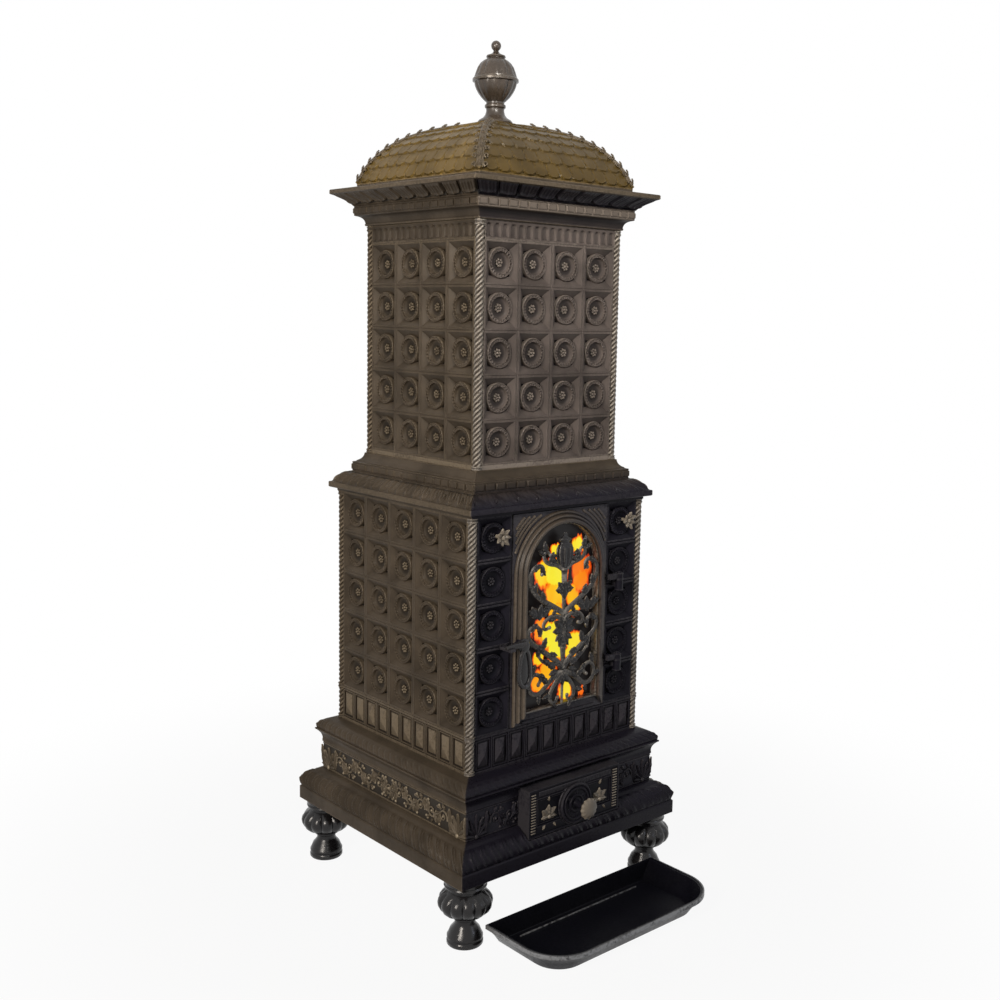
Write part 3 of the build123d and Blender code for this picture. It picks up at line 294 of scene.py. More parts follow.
# %% Mix the irons
finishes = {
    "casing_iron": cast_iron(
        "casing_iron_polish", rgb(0.005, 0.004, 0.003), rgb(0.066, 0.051, 0.036), rgb(0.220, 0.175, 0.120),
        front_shade_and_blocks=True, walls=True),
    # A lighter copy of the casing iron for the upper front, as painted light.
    "front_iron": cast_iron(
        "front_iron_painted_light", rgb(0.003, 0.003, 0.004), rgb(0.100, 0.082, 0.073), rgb(0.400, 0.340, 0.280),
        crest_share=0.45, walls=True),
    "rope_iron": cast_iron(
        "rope_iron_polish", rgb(0.004, 0.004, 0.004), rgb(0.085, 0.070, 0.056), rgb(0.360, 0.320, 0.270),
        rough=(0.30, 0.44), gloss=0.25, shine=0.3, crest_share=0.8),
    "ground_iron": cast_iron(
        "ground_iron_polish", rgb(0.004, 0.003, 0.003), rgb(0.026, 0.021, 0.016), rgb(0.050, 0.041, 0.031),
        front_shade_and_blocks=True, crest_share=0.3),
    "leaf_iron": cast_iron(
        "leaf_iron_polish", rgb(0.004, 0.003, 0.003), rgb(0.105, 0.084, 0.060), rgb(0.340, 0.280, 0.200),
        front_shade_and_blocks=True, crest_share=0.8),
    # The roof's front slope is darkened as painted shade.
    "roof_iron": cast_iron(
        "roof_iron_polish", rgb(0.010, 0.006, 0.003), rgb(0.120, 0.077, 0.019), rgb(0.270, 0.190, 0.090),
        rough=(0.32, 0.46), gloss=0.15, shine=0.2, shaded=0.35),
    # Near-black iron, darkened further and tinted blue as painted shade on the lower front.
    "door_iron": cast_iron(
        "door_iron_painted_shade", rgb(0.002, 0.002, 0.004), rgb(0.013, 0.012, 0.018), rgb(0.080, 0.075, 0.082),
        rough=(0.30, 0.46), gloss=0.06, walls=True),
    # A lighter, browner copy of the door iron for the reeds, as painted light, with painted shade on the
    # right half.
    "reed_iron": cast_iron(
        "reed_iron_painted_light", rgb(0.003, 0.003, 0.004), rgb(0.066, 0.051, 0.038), rgb(0.200, 0.160, 0.120),
        rough=(0.30, 0.44), gloss=0.25, shine=0.3, crest_share=0.4, shaded_right_half=True),
    "grille_iron": cast_iron(
        "grille_iron_polish", rgb(0.003, 0.003, 0.004), rgb(0.014, 0.013, 0.014), rgb(0.340, 0.310, 0.270),
        rough=(0.24, 0.40), gloss=0.25, shine=0.4, crest_share=0.6),
    "worn_iron": cast_iron(
        "worn_iron_bright", rgb(0.022, 0.018, 0.015), rgb(0.190, 0.160, 0.125), rgb(0.380, 0.330, 0.260),
        rough=(0.34, 0.48), gloss=0.3),
    "foot_iron": cast_iron(
        "foot_iron_polish", rgb(0.002, 0.002, 0.003), rgb(0.010, 0.009, 0.010), rgb(0.110, 0.100, 0.100),
        rough=(0.16, 0.30), gloss=0.35, shine=0.4, crest_share=0.3),
    "finial_iron": cast_iron(
        "finial_iron_polish", rgb(0.006, 0.005, 0.004), rgb(0.060, 0.045, 0.033), rgb(0.190, 0.160, 0.120),
        rough=(0.20, 0.34), gloss=0.5, shine=0.4, crest_share=0.4),
    "hip_iron": cast_iron(
        "hip_iron_polish", rgb(0.008, 0.006, 0.004), rgb(0.088, 0.066, 0.042), rgb(0.220, 0.175, 0.115),
        rough=(0.30, 0.44), gloss=0.2, shine=0.3, crest_share=0.4),
    "hearth_iron": cast_iron(
        "hearth_iron_bare", rgb(0.016, 0.014, 0.012), rgb(0.075, 0.070, 0.064), rgb(0.150, 0.140, 0.130),
        rough=(0.6, 0.8)),
    "tray_iron": cast_iron(
        "tray_iron_worn", rgb(0.002, 0.002, 0.003), rgb(0.006, 0.006, 0.010), rgb(0.260, 0.265, 0.275),
        rough=(0.30, 0.46), gloss=0.1, shine=0.5, crest_share=1.0),
    "sheet_steel": cast_iron(
        "sheet_steel_dull", rgb(0.05, 0.05, 0.05), rgb(0.13, 0.13, 0.13), rgb(0.2, 0.2, 0.2),
        rough=(0.4, 0.55), gloss=0.5),
    "steel_fasteners": cast_iron(
        "steel_fasteners_oiled", rgb(0.05, 0.045, 0.04), rgb(0.18, 0.17, 0.16), rgb(0.3, 0.29, 0.27),
        rough=(0.35, 0.5), gloss=0.5),
}
print("irons:", ", ".join(sorted(finishes)))

# %% [markdown]
# ## Firebrick and the glowing panes
# Firebrick is pressed clay: matt, buff and pitted. The panes are thin sheets of mica lit from behind by the
# fire, so they are given a light of their own. Each flame is a round spot whose edge is made ragged by a
# noise that is stretched upwards, and a ramp turns the heat from black through red and orange to yellow.
# Only the front of a sheet glows, so that an open door shows a dark back.

# %% Mix the brick and the panes
def firebrick_clay():
    finish = Finish("firebrick_clay", Roughness=0.92)
    speckle = finish.noise(300.0, 3.0)
    cloud = finish.noise(14.0, 3.0)
    tone = finish.blend(cloud, rgb(0.52, 0.38, 0.25), rgb(0.68, 0.55, 0.40))
    finish.surface(Base_Color=finish.blend(speckle * 0.4, tone, rgb(0.30, 0.20, 0.13)))
    finish.bump(speckle, 0.0012)
    return finish.material


FLAMES = ((-0.006, 0.690, 0.036, 1.0), (-0.040, 0.692, 0.028, 0.84), (0.064, 0.690, 0.034, 0.52),
          (0.062, 0.664, 0.026, 0.60), (-0.004, 0.652, 0.036, 0.84), (0.038, 0.640, 0.024, 0.74),
          (0.046, 0.609, 0.018, 0.76), (-0.004, 0.611, 0.022, 0.80), (-0.045, 0.577, 0.026, 0.66),
          (-0.018, 0.564, 0.030, 1.0), (0.002, 0.536, 0.030, 1.0), (0.046, 0.540, 0.024, 0.95),
          (0.040, 0.519, 0.018, 0.9), (-0.049, 0.521, 0.017, 0.9), (-0.024, 0.484, 0.030, 0.72),
          (-0.046, 0.472, 0.027, 0.68), (0.027, 0.441, 0.022, 0.92), (0.073, 0.430, 0.010, 0.5),
          (-0.008, 0.733, 0.017, 0.95), (0.054, 0.741, 0.020, 0.95))
PANE_DEPTH = (-0.2218, -0.2212)
SQUASH = 0.88


def fire_behind_mica():
    finish = Finish("fire_behind_mica", Roughness=0.35, Specular_IOR_Level=0.2, Emission_Strength=1.0)
    flames = finish.noise(13.0, 2.5, (1.2, 1.0, 0.7), 0.5)
    flicker = finish.noise(60.0, 2.5, (1.6, 1.0, 0.8), 0.6)
    where = finish.place((1.0, 0.0, SQUASH))
    heat = 0.0
    for x, z, radius, power in FLAMES:
        away = finish.node("VectorMath", {"operation": "DISTANCE"}, {0: where, 1: (x, 0.0, SQUASH * z)},
                           out="Value")
        spot = power * (1 - finish.between(away + (flicker - 0.5) * 0.022, 0.60 * radius, 1.10 * radius))
        heat = spot.at_least(heat)
    heat = heat + (flames - 0.5) * 0.45 * finish.between(heat, 0.1, 0.6)
    heat = heat * (1 - finish.between(finish.axis("Y"), *PANE_DEPTH))
    glow = finish.node("ValToRGB", {"stops": [
        (0.16, rgb(0.004, 0.003, 0.003)), (0.30, rgb(0.50, 0.03, 0.002)), (0.48, rgb(0.90, 0.12, 0.005)),
        (0.68, rgb(0.95, 0.30, 0.01)), (0.86, rgb(0.95, 0.60, 0.015)), (1.0, rgb(0.90, 0.80, 0.04)),
    ]}, {"Fac": heat})
    finish.surface(Base_Color=finish.blend(0.9, glow, rgb(0.0, 0.0, 0.0)), Emission_Color=glow)
    return finish.material


finishes["firebrick"] = firebrick_clay()
finishes["mica"] = fire_behind_mica()
for name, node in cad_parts.items():
    for slot in node.material_slots:
        finish = "ground_iron" if name.startswith("base_frieze") else slot.material.name.split(".")[0]
        slot.material = finishes[finish]
print("finishes on", sum(len(node.material_slots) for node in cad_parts.values()), "slots")

# %% [markdown]
# ## A pale floor and soft light
# The floor is white paper: it keeps the stove's shadow, and to the camera and to reflections it is partly
# its own white, more so further out, so that it runs into the background without a line. The world is white
# too. Three soft lamps shape the mouldings: a broad warm one from the left like a window, a narrow one over
# the upper front, and a weak cool one from the right that keeps the black front from going flat.

# %% Light the studio
def background_rays(graph):
    """1 for the rays that show the background: seen directly, mirrored or through glass."""
    seen, mirrored, through = (graph.node("LightPath", out=ray)
                               for ray in ("Is Camera Ray", "Is Glossy Ray", "Is Transmission Ray"))
    return seen.at_least(mirrored).at_least(through)


world = bpy.data.worlds.new("studio")
bpy.context.scene.world = world
world.use_nodes = True
sky = Graph(world.node_tree)
background = sky.tree.nodes["Background"]
background.inputs["Color"].default_value = rgb(1.0, 1.0, 1.0)
sky.put(background.inputs["Strength"],
        sky.node("MapRange", {}, {"Value": background_rays(sky), "To Min": 0.09, "To Max": 1.0}))

paper = Finish("white_paper", Base_Color=rgb(0.45, 0.45, 0.45), Roughness=0.9, Specular_IOR_Level=0.0)
spot = paper.node("TexCoord", out="Object")
away = paper.node("VectorMath", {"operation": "LENGTH"}, {0: spot}, out="Value")
share = paper.node("MapRange", {"interpolation_type": "SMOOTHSTEP"},
                   {"Value": away, "From Min": 0.5, "From Max": 1.6, "To Min": 0.93, "To Max": 1.0})
lit = Shade(paper, paper.shader.outputs[0])
white = paper.node("Emission", {}, {"Strength": 1.0})
mixed = paper.node("MixShader", {}, {0: background_rays(paper) * share, 1: lit, 2: white})
paper.put(paper.tree.nodes["Material Output"].inputs["Surface"], mixed)

floor_mesh = bmesh.new()
bmesh.ops.create_grid(floor_mesh, x_segments=1, y_segments=1, size=60.0)
floor_data = bpy.data.meshes.new("floor")
floor_mesh.to_mesh(floor_data)
floor_mesh.free()
floor = bpy.data.objects.new("floor", floor_data)
floor_data.materials.append(paper.material)
bpy.context.scene.collection.objects.link(floor)


def soft_lamp(name, place, target, size, power, colour=(1, 1, 1), spread=180):
    lamp = bpy.data.objects.new(name, bpy.data.lights.new(name, "AREA"))
    lamp.data.shape = "RECTANGLE"
    lamp.data.size, lamp.data.size_y = size
    lamp.data.energy = power
    lamp.data.color = colour
    lamp.data.spread = math.radians(spread)
    lamp.location = place
    lamp.rotation_euler = (Vector(target) - Vector(place)).to_track_quat("-Z", "Y").to_euler()
    bpy.context.scene.collection.objects.link(lamp)


soft_lamp("window", (-2.9, -1.1, 1.75), (0, 0, 1.0), (0.6, 1.2), 80.0, (1.0, 0.92, 0.83))
soft_lamp("overhead", (-0.9, -1.9, 2.6), (0, -0.1, 1.42), (0.45, 0.45), 4.0, (1.0, 0.96, 0.90), 48)
soft_lamp("front_fill", (1.4, -3.0, 1.6), (0, 0, 0.8), (0.6, 1.0), 6.0, (0.72, 0.80, 1.0))
print("lamps: 3")

# %% [markdown]
# ## From a mesh in millimetres to a finished casting
# Castings are drawn in millimetres and made metres at the end. Doubles are merged first and the normals
# recalculated after, so that every casting is closed and faces outwards. An ornament is drawn flat, with x
# across, y up and z outwards, and then stamped where it belongs.

# %% Place and turn things
SIDE_TURN = {"front": 0, "right": 90, "rear": 180, "left": 270}
CORNER_TURN = {"front_left": 0, "front_right": 90, "rear_right": 180, "rear_left": 270}


def turned(angle, axis="Z"):
    return Matrix.Rotation(math.radians(angle), 4, axis)


def moved(x, y, z):
    return Matrix.Translation((x, y, z))


def sized(x, y, z):
    return Matrix.Diagonal((x, y, z, 1))


HERE = Matrix.Identity(4)
MIRROR = sized(-1, 1, 1)
UPSIDE_DOWN = sized(1, -1, 1)
UPRIGHT = turned(90, "X")


def on_side(side, x, z, face):
    """Takes a flat ornament to its place on a side of the tower."""
    return turned(SIDE_TURN[side]) @ moved(x, -face, z) @ UPRIGHT


print("sides:", ", ".join(SIDE_TURN))

# %% Merge, stamp and close
MERGE = 0.01


def settle(bm):
    """Merges the doubles and turns every face outwards."""
    bmesh.ops.remove_doubles(bm, verts=bm.verts, dist=MERGE)
    bmesh.ops.recalc_face_normals(bm, faces=bm.faces)


def as_mesh(bm):
    settle(bm)
    mesh = bpy.data.meshes.new("pattern")
    bm.to_mesh(mesh)
    bm.free()
    return mesh


def stamp(bm, pattern, place=HERE):
    """Adds a copy of a pattern, as a foundry sets one stock ornament many times."""
    copy = pattern.copy()
    copy.transform(place)
    bm.from_mesh(copy)
    bpy.data.meshes.remove(copy)


def only_verts(made):
    return [item for item in made if isinstance(item, bmesh.types.BMVert)]


def open_edges(bm):
    return [edge for edge in bm.edges if edge.is_boundary]


def drawn_out(bm, edges):
    """Extrudes edges and returns the vertices that may now be moved."""
    return only_verts(bmesh.ops.extrude_edge_only(bm, edges=edges)["geom"])


def close_holes(bm):
    bmesh.ops.holes_fill(bm, edges=open_edges(bm))


def backed(bm, depth):
    """Gives a flat relief a wall and a back."""
    for vert in drawn_out(bm, open_edges(bm)):
        vert.co.z = -depth
    close_holes(bm)


print("points closer than", MERGE, "mm are merged")

# %% Cast a piece
piece_count = 0


def cast(name, bm, body, slot, replaces=(), crease=38, finish=None):
    """Finishes a casting: metres, material, smooth shading with creases, and its place in the frame."""
    global piece_count
    settle(bm)
    bmesh.ops.scale(bm, vec=(MM, MM, MM), verts=bm.verts)
    mesh = bpy.data.meshes.new(name)
    triangles = sum(len(face.verts) - 2 for face in bm.faces)
    bm.to_mesh(mesh)
    bm.free()
    mesh.materials.append(finishes[finish or slot])
    mesh.shade_smooth()
    mesh.set_sharp_from_angle(angle=math.radians(crease))
    piece = bpy.data.objects.new(name, mesh)
    bpy.context.scene.collection.objects.link(piece)
    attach(piece, body)
    if replaces:
        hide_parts(*replaces)
    piece_count += 1
    print(f"{name}: {triangles} triangles")


print("pieces so far:", piece_count)

# %% [markdown]
# ## Turned forms and mitred mouldings
# A foot, a ring or a hub is an outline spun about its axis, as on a lathe. A moulding that runs round the
# tower could be swept along a square, but then its leaves would have to be set on it one by one. Here each
# side is a grid laid along the outline, whose points are raised by a small function of their place, and the
# four sides meet in a mitre, which is how a pattern maker planes one too.

# %% Turn a round form
def lathe(bm, profile, steps, place=HERE, wave=None):
    """Spins an outline of (radius, height) into a round form; wave(turn, height) swells its radius."""
    form = bmesh.new()
    verts = [form.verts.new((radius, 0, z)) for radius, z in profile]
    edges = [form.edges.new(pair) for pair in zip(verts, verts[1:])]
    bmesh.ops.spin(form, geom=verts + edges, cent=(0, 0, 0), axis=(0, 0, 1), angle=2 * math.pi, steps=steps,
                   use_merge=True)
    for vert in form.verts if wave else ():
        swell = wave(math.atan2(vert.co.y, vert.co.x), vert.co.z)
        vert.co.x *= swell
        vert.co.y *= swell
    stamp(bm, as_mesh(form), place)


def slab(bm, low, high, place=HERE, bevel=0.0):
    """A block between two corners, with softened edges if asked."""
    made = bmesh.ops.create_cube(bm, size=1.0)["verts"]
    size = [high[i] - low[i] for i in range(3)]
    middle = [(high[i] + low[i]) / 2 for i in range(3)]
    bmesh.ops.scale(bm, vec=size, verts=made)
    bmesh.ops.translate(bm, verts=made, vec=middle)
    bmesh.ops.transform(bm, matrix=place, verts=made)
    if bevel:
        edges = list({edge for vert in made for edge in vert.link_edges})
        bmesh.ops.bevel(bm, geom=edges, offset=bevel, segments=2, profile=0.5, affect="EDGES", material=-1)


print("a lathe and a plane are ready")

# %% Run a mitred moulding
def arc(start, middle, end, count):
    """Points of a smooth bend from start to end that passes by middle."""
    control = [2 * middle[i] - (start[i] + end[i]) / 2 for i in (0, 1)]
    points = []
    for step in range(count + 1):
        t = step / count
        points.append(tuple((1 - t) ** 2 * start[i] + 2 * t * (1 - t) * control[i] + t * t * end[i]
                            for i in (0, 1)))
    return points


def outward(profile):
    """The direction in which each point of an outline is raised."""
    last = len(profile) - 1
    normals = []
    for index in range(last + 1):
        before, after = profile[max(index - 1, 0)], profile[min(index + 1, last)]
        run = Vector((after[0] - before[0], after[1] - before[1])).normalized()
        normals.append((run.y, -run.x))
    return normals


def square_moulding(bm, profile, columns, relief=None, inner=None):
    """A mitred moulding round the tower, of (half width, height). relief(side, across, z, half) is how far
    its face stands proud, where across runs from -1 at one corner to 1 at the next; inner is the half width
    to which its back is drawn in."""
    rows = len(profile) - 1
    normals = outward(profile)
    ring = []
    for side in range(4):
        made = bmesh.ops.create_grid(bm, x_segments=columns, y_segments=rows, size=0.5)["verts"]
        for vert in made:
            across = 2 * vert.co.x
            row = round((vert.co.y + 0.5) * rows)
            half, z = profile[row]
            proud = relief(side, across, z, half) if relief else 0.0
            half += normals[row][0] * proud
            z += normals[row][1] * proud
            vert.co = (across * half, -half, z)
        bmesh.ops.rotate(bm, verts=made, cent=(0, 0, 0), matrix=turned(90 * side).to_3x3())
        ring += made
    bmesh.ops.remove_doubles(bm, verts=ring, dist=2 * MERGE)
    for vert in drawn_out(bm, open_edges(bm)) if inner else ():
        reach = max(abs(vert.co.x), abs(vert.co.y))
        vert.co.x *= inner / reach
        vert.co.y *= inner / reach
    bmesh.ops.bridge_loops(bm, edges=open_edges(bm))


print("a moulding of four sides is ready")

# %% Shape a relief
def smooth(value, low, high):
    t = min(max((value - low) / (high - low), 0.0), 1.0)
    return t * t * (3 - 2 * t)


def ridge(value, centre, width):
    return math.exp(-((value - centre) / width) ** 2)


def beat(across, count, shift=0.0):
    """Where a point lies in its own repeat, 0 to 1, of a count along the side."""
    return ((across + 1) / 2 * count + shift) % 1.0


print("a slope is half way up at the middle:", smooth(0.5, 0.0, 1.0))

# %% The tower's levels and half widths
PLINTH_LOW, FRIEZE_LOW, CAP_LOW, LOWER_LOW, TILES_LOW, MID_LOW = 130.0, 203.0, 261.0, 319.0, 392.0, 822.0
UPPER_LOW, UPPER_TILES_LOW, FLUTES_LOW, CROWN_LOW = 905.0, 914.0, 1344.0, 1380.0
LOWER_FIELD, UPPER_FIELD, DOOR_FIELD = 215.0, 172.0, 129.0
print("the lower tiles rise from", TILES_LOW, "to", MID_LOW, "mm")

# %% [markdown]
# ## One tile
# Each wall is cast as if it were set with small relief tiles: a flat border with a fine joint line, a steep
# mitred bevel, a ring of little eggs and a bowl with a bead rosette in it. It could be a displacement map,
# but the bevels have sharp mitres that show from every side, so the recess is one face that is inset again
# and again, and the ring with its bowl is an outline spun about the tile's middle.

# %% Model the tile
TILE, ROWS = 86.0, 5
RING_STEPS = 48
TILE_STEPS = ((0.9, 1.0), (3.9, 0.0), (0.5, -0.9), (0.6, -0.43), (0.6, -0.43), (9.6, -6.88), (0.6, -0.43),
              (0.6, -0.43), (0.4, -2.4))
RING_PROFILE = [(0, -12.2), (29.8, -12.2), (29.8, -5.6), (29.2, -3.9), (28.2, -3.0), (27.2, -3.6),
                (26.4, -3.9), (25.0, -3.5), (23.7, -3.9), (22.9, -3.6), (22.2, -3.6), (21.6, -5.4),
                (20.4, -8.2), (18.0, -10.2), (14.6, -11.2), (10.8, -11.6), (9.6, -11.0), (8.6, -11.8),
                (0, -11.8)]
EGG_RADII, EGG_RISE = (22.7, 26.8), 1.3
BEADS, BEAD_RING, BEAD_LEVEL = 7, 6.4, -10.2


def inset(bm, face, steps):
    """Insets a face again and again, by a width and a depth each time."""
    for width, depth in steps:
        bmesh.ops.inset_region(bm, faces=[face], thickness=width, depth=depth, use_even_offset=True,
                               use_boundary=True)


def is_level(edge):
    """Whether an edge runs along x or y, unlike a mitre."""
    run = edge.verts[0].co - edge.verts[1].co
    return abs(run.z) < MERGE and min(abs(run.x), abs(run.y)) < MERGE


def egg_ring():
    bm = bmesh.new()
    lathe(bm, RING_PROFILE, RING_STEPS)
    for vert in bm.verts:
        if EGG_RADII[0] < math.hypot(vert.co.x, vert.co.y) < EGG_RADII[1]:
            vert.co.z += EGG_RISE * math.cos(RING_STEPS / 2 * math.atan2(vert.co.y, vert.co.x))
    return as_mesh(bm)


def tile_pattern():
    """A square recess with four mitred slopes and, in it, a ring of eggs round a bowl with seven beads."""
    bm = bmesh.new()
    bmesh.ops.create_grid(bm, x_segments=1, y_segments=1, size=TILE / 2)
    bmesh.ops.translate(bm, verts=bm.verts, vec=(0, 0, -1.0))
    bm.faces.ensure_lookup_table()
    inset(bm, bm.faces[0], TILE_STEPS)
    bmesh.ops.subdivide_edges(bm, edges=[edge for edge in bm.edges if is_level(edge)], cuts=2)
    stamp(bm, egg_ring())
    for index in range(BEADS + 1):
        middle = index == BEADS
        turn = 2 * math.pi * index / BEADS
        away = 0.0 if middle else BEAD_RING
        bead = bmesh.ops.create_icosphere(bm, subdivisions=1, radius=3.0 if middle else 2.7)["verts"]
        bmesh.ops.translate(bm, verts=bead, vec=(away * math.cos(turn), away * math.sin(turn), BEAD_LEVEL))
    return as_mesh(bm)


plain_tile = tile_pattern()
print("tile:", len(plain_tile.polygons), "faces")

# %% [markdown]
# ## Tiled walls
# A wall is one casting: its tiles, a sill below them and, upstairs, a frieze of little arched flutes above.
# The tiles are stamped side by side, their shared edges merge, and the outer edge is drawn back to the
# wall's thickness and closed.

# %% Cast the walls
WALL = 12.6


def tiles(bm, side, face, left, columns, bottom):
    """A field of tiles, closed behind."""
    field = bmesh.new()
    for column in range(columns):
        for row in range(ROWS):
            stamp(field, plain_tile, moved(left + (column + 0.5) * TILE, bottom + (row + 0.5) * TILE, 0))
    bmesh.ops.remove_doubles(field, verts=field.verts, dist=MERGE)
    backed(field, WALL)
    stamp(bm, as_mesh(field), on_side(side, 0, 0, face))


def flute_strip(width, low, high, count):
    """A strip of arched flutes with ribs between, drawn flat and closed behind."""
    bm = bmesh.new()
    pitch = width / count
    spring = high - 13.0
    for vert in bmesh.ops.create_grid(bm, x_segments=count * 10, y_segments=18, size=0.5)["verts"]:
        x = vert.co.x * width
        z = low + (vert.co.y + 0.5) * (high - low)
        from_rib = abs((x / pitch + count / 2) % 1.0 - 0.5) * pitch
        distance = math.hypot(from_rib, max(z - spring, 0.0))
        hollow = (1 - smooth(distance, 5.2, 7.6)) * smooth(z, low + 4.0, low + 5.6)
        fillet = 0.9 * ridge(z, high - 3.0, 1.3) + 0.7 * ridge(z, low + 1.6, 1.0)
        vert.co = (x, z, 0.4 + fillet - 3.4 * hollow)
    backed(bm, WALL)
    return as_mesh(bm)


upper_flutes = flute_strip(2 * UPPER_FIELD, FLUTES_LOW, CROWN_LOW, 17)
for side in ("front", "left", "right"):
    bm = bmesh.new()
    tiles(bm, side, UPPER_FACE, -UPPER_FIELD, 4, UPPER_TILES_LOW)
    slab(bm, (-UPPER_FIELD, -UPPER_FACE, UPPER_LOW), (UPPER_FIELD, -UPPER_FACE + WALL, UPPER_TILES_LOW),
         turned(SIDE_TURN[side]))
    stamp(bm, upper_flutes, on_side(side, 0, 0, UPPER_FACE))
    # The upper front gets the lighter copy of the iron, as painted light.
    cast("upper_tiles_" + side, bm, "stove_body", "casing_iron", ["upper_panel_" + side], crease=24,
         finish="front_iron" if side == "front" else None)
for side in ("left", "right"):
    bm = bmesh.new()
    tiles(bm, side, LOWER_FACE, -LOWER_FIELD, 5, TILES_LOW)
    cast("lower_tiles_" + side, bm, "stove_body", "casing_iron", ["lower_panel_" + side], crease=24)
for side, left in (("left", -LOWER_FIELD), ("right", DOOR_FIELD)):
    bm = bmesh.new()
    tiles(bm, "front", LOWER_FACE, left, 1, TILES_LOW)
    for row in range(1, ROWS):
        level = TILES_LOW + row * TILE
        for low, high in ((-5.2, -1.0), (1.0, 5.2)):
            slab(bm, (left + 1.0, -LOWER_FACE - 1.6, level + low),
                 (left + TILE - 1.0, -LOWER_FACE + 1.0, level + high), bevel=1.3)
    cast("pier_tiles_" + side, bm, "stove_body", "door_iron", ["front_pier_" + side], crease=24)

# %% [markdown]
# ## Rope columns
# A twisted rope is cast on each corner. A turner would carve four strands round a rod; here a four-lobed
# outline is spun about the column's axis while it climbs, which is what the spin operator's dvec is for.

# %% Cast the rope columns
STRANDS, LEAD, ROPE_STEP = 4, 40.0, 2.5


def rope_column(bm, centre, low, high, collars):
    loop = bmesh.ops.create_circle(bm, cap_ends=False, radius=1.0, segments=STRANDS * 4)["verts"]
    for vert in loop:
        turn = math.atan2(vert.co.y, vert.co.x)
        radius = 5.9 + 3.0 * abs(math.cos(STRANDS * turn / 2)) ** 0.8
        vert.co = (radius * math.cos(turn), radius * math.sin(turn), low)
    edges = list({edge for vert in loop for edge in vert.link_edges})
    steps = round((high - low) / ROPE_STEP)
    bmesh.ops.spin(bm, geom=loop + edges, cent=(0, 0, 0), axis=(0, 0, 1),
                   dvec=(0, 0, (high - low) / steps), angle=2 * math.pi * (high - low) / LEAD, steps=steps)
    close_holes(bm)
    for level in collars:
        foot = max(level - 5.0, low)
        head = min(level + 5.0, high)
        lathe(bm, [(0, foot), (9.0, foot), (10.2, foot + 1.5), (10.2, foot + 3.0), (9.2, foot + 4.2),
                   (9.2, head - 2.2), (10.4, head - 1.6), (10.4, head - 0.5), (9.0, head), (0, head)], 20)
    bmesh.ops.translate(bm, verts=bm.verts, vec=(-centre, -centre, 0))
    slab(bm, (-centre, -centre, low), (6.0 - centre, 6.0 - centre, high))


ROPES = (("lower", 223.5, LOWER_LOW, MID_LOW, (LOWER_LOW + 3.0, TILES_LOW, MID_LOW - 4.0)),
         ("upper", 180.5, UPPER_LOW, CROWN_LOW, (UPPER_LOW + 3.0, CROWN_LOW - 6.0)))
for corner, turn in CORNER_TURN.items():
    for tier, centre, low, high, collars in ROPES:
        bm = bmesh.new()
        rope_column(bm, centre, low, high, collars)
        bmesh.ops.transform(bm, matrix=turned(turn), verts=bm.verts)
        cast(f"rope_{tier}_{corner}", bm, "stove_body", "casing_iron", [f"{tier}_column_{corner}"], crease=60,
             finish="rope_iron" if corner.startswith("front") else None)

# %% [markdown]
# ## Mouldings of the base
# The plinth carries a torus of slanting leaves, and above the base frieze a broad cap slopes back to the
# casing under a twisted ribbon. Each is one mitred moulding whose face is raised by a small function of the
# place along the side, so that the leaves follow the bend and meet at the corners. In front both leave room
# for the drawer.

# %% Cast the plinth and the base cap
NOTCH_HALF, NOTCH_FACE = 124.5, 253.7
PLINTH_HALF, FRIEZE_FACE, CASING_HALF = 292.0, 254.0, 232.0


def plinth_relief(side, across, z, half):
    low, high = 159.0, 195.0
    if z < low:
        return 0.0
    up = (z - low) / (high - low)
    lobe = beat(across, 22, 0.8 * up)
    leaf = abs(math.sin(math.pi * lobe)) ** 0.7
    top = 0.92 - 0.18 * (2 * abs(lobe - 0.5)) ** 2
    rib = 1.7 * ridge(lobe, 0.34, 0.08) + 1.4 * ridge(lobe, 0.66, 0.07) - 1.0 * ridge(lobe, 0.5, 0.06)
    return (3.0 * leaf + rib - 1.8) * smooth(up, -0.02, 0.12) * (1 - smooth(up, top, top + 0.08))


def notched(relief, low, high):
    """The same relief with room left in the front for the drawer."""
    def shaped(side, across, z, half):
        if side == 0 and abs(across * half) < NOTCH_HALF and low < z < high:
            return min(0.0, NOTCH_FACE - half)
        return relief(side, across, z, half)
    return shaped


def cap_relief(side, across, z, half):
    low, high = 296.0, 311.0
    if z < low or z > high:
        return 0.0
    up = (z - low) / (high - low)
    lobe = beat(across, 26, 0.9 * up)
    return (2.8 * abs(math.sin(math.pi * lobe)) ** 0.7 - 1.4 * ridge(lobe, 0.5, 0.1) - 1.0) \
        * smooth(up, 0.0, 0.18) * (1 - smooth(up, 0.82, 1.0))


plinth_profile = [(PLINTH_HALF, PLINTH_LOW), (PLINTH_HALF, 132.0), (PLINTH_HALF, 154.5), (PLINTH_HALF, 156.5),
                  (291.0, 158.0)]
plinth_profile += arc((289.5, 159.0), (288.5, 180.0), (271.0, 195.0), 18)
plinth_profile += [(268.0, 196.0), (266.0, 198.5), (FRIEZE_FACE, FRIEZE_LOW)]
bm = bmesh.new()
square_moulding(bm, plinth_profile, 240, notched(plinth_relief, 181.0, 203.5), 250.0)
cast("plinth_moulding", bm, "stove_body", "casing_iron", ["plinth"])

cap_profile = [(FRIEZE_FACE, CAP_LOW), (256.0, 262.0), (256.0, 267.0)]
cap_profile += arc((255.5, 268.0), (258.5, 280.0), (267.5, 289.0), 6)
cap_profile += [(268.0, 290.5), (267.5, 292.0), (264.5, 293.0)]
cap_profile += arc((265.5, 295.0), (262.5, 304.0), (251.0, 313.0), 12)
cap_profile += [(249.0, 314.0), (246.0, 314.5), (CASING_HALF, LOWER_LOW)]
bm = bmesh.new()
square_moulding(bm, cap_profile, 240, notched(cap_relief, 260.0, 280.5), LOWER_FACE)
cast("base_cap_moulding", bm, "stove_body", "casing_iron", ["base_cap"])

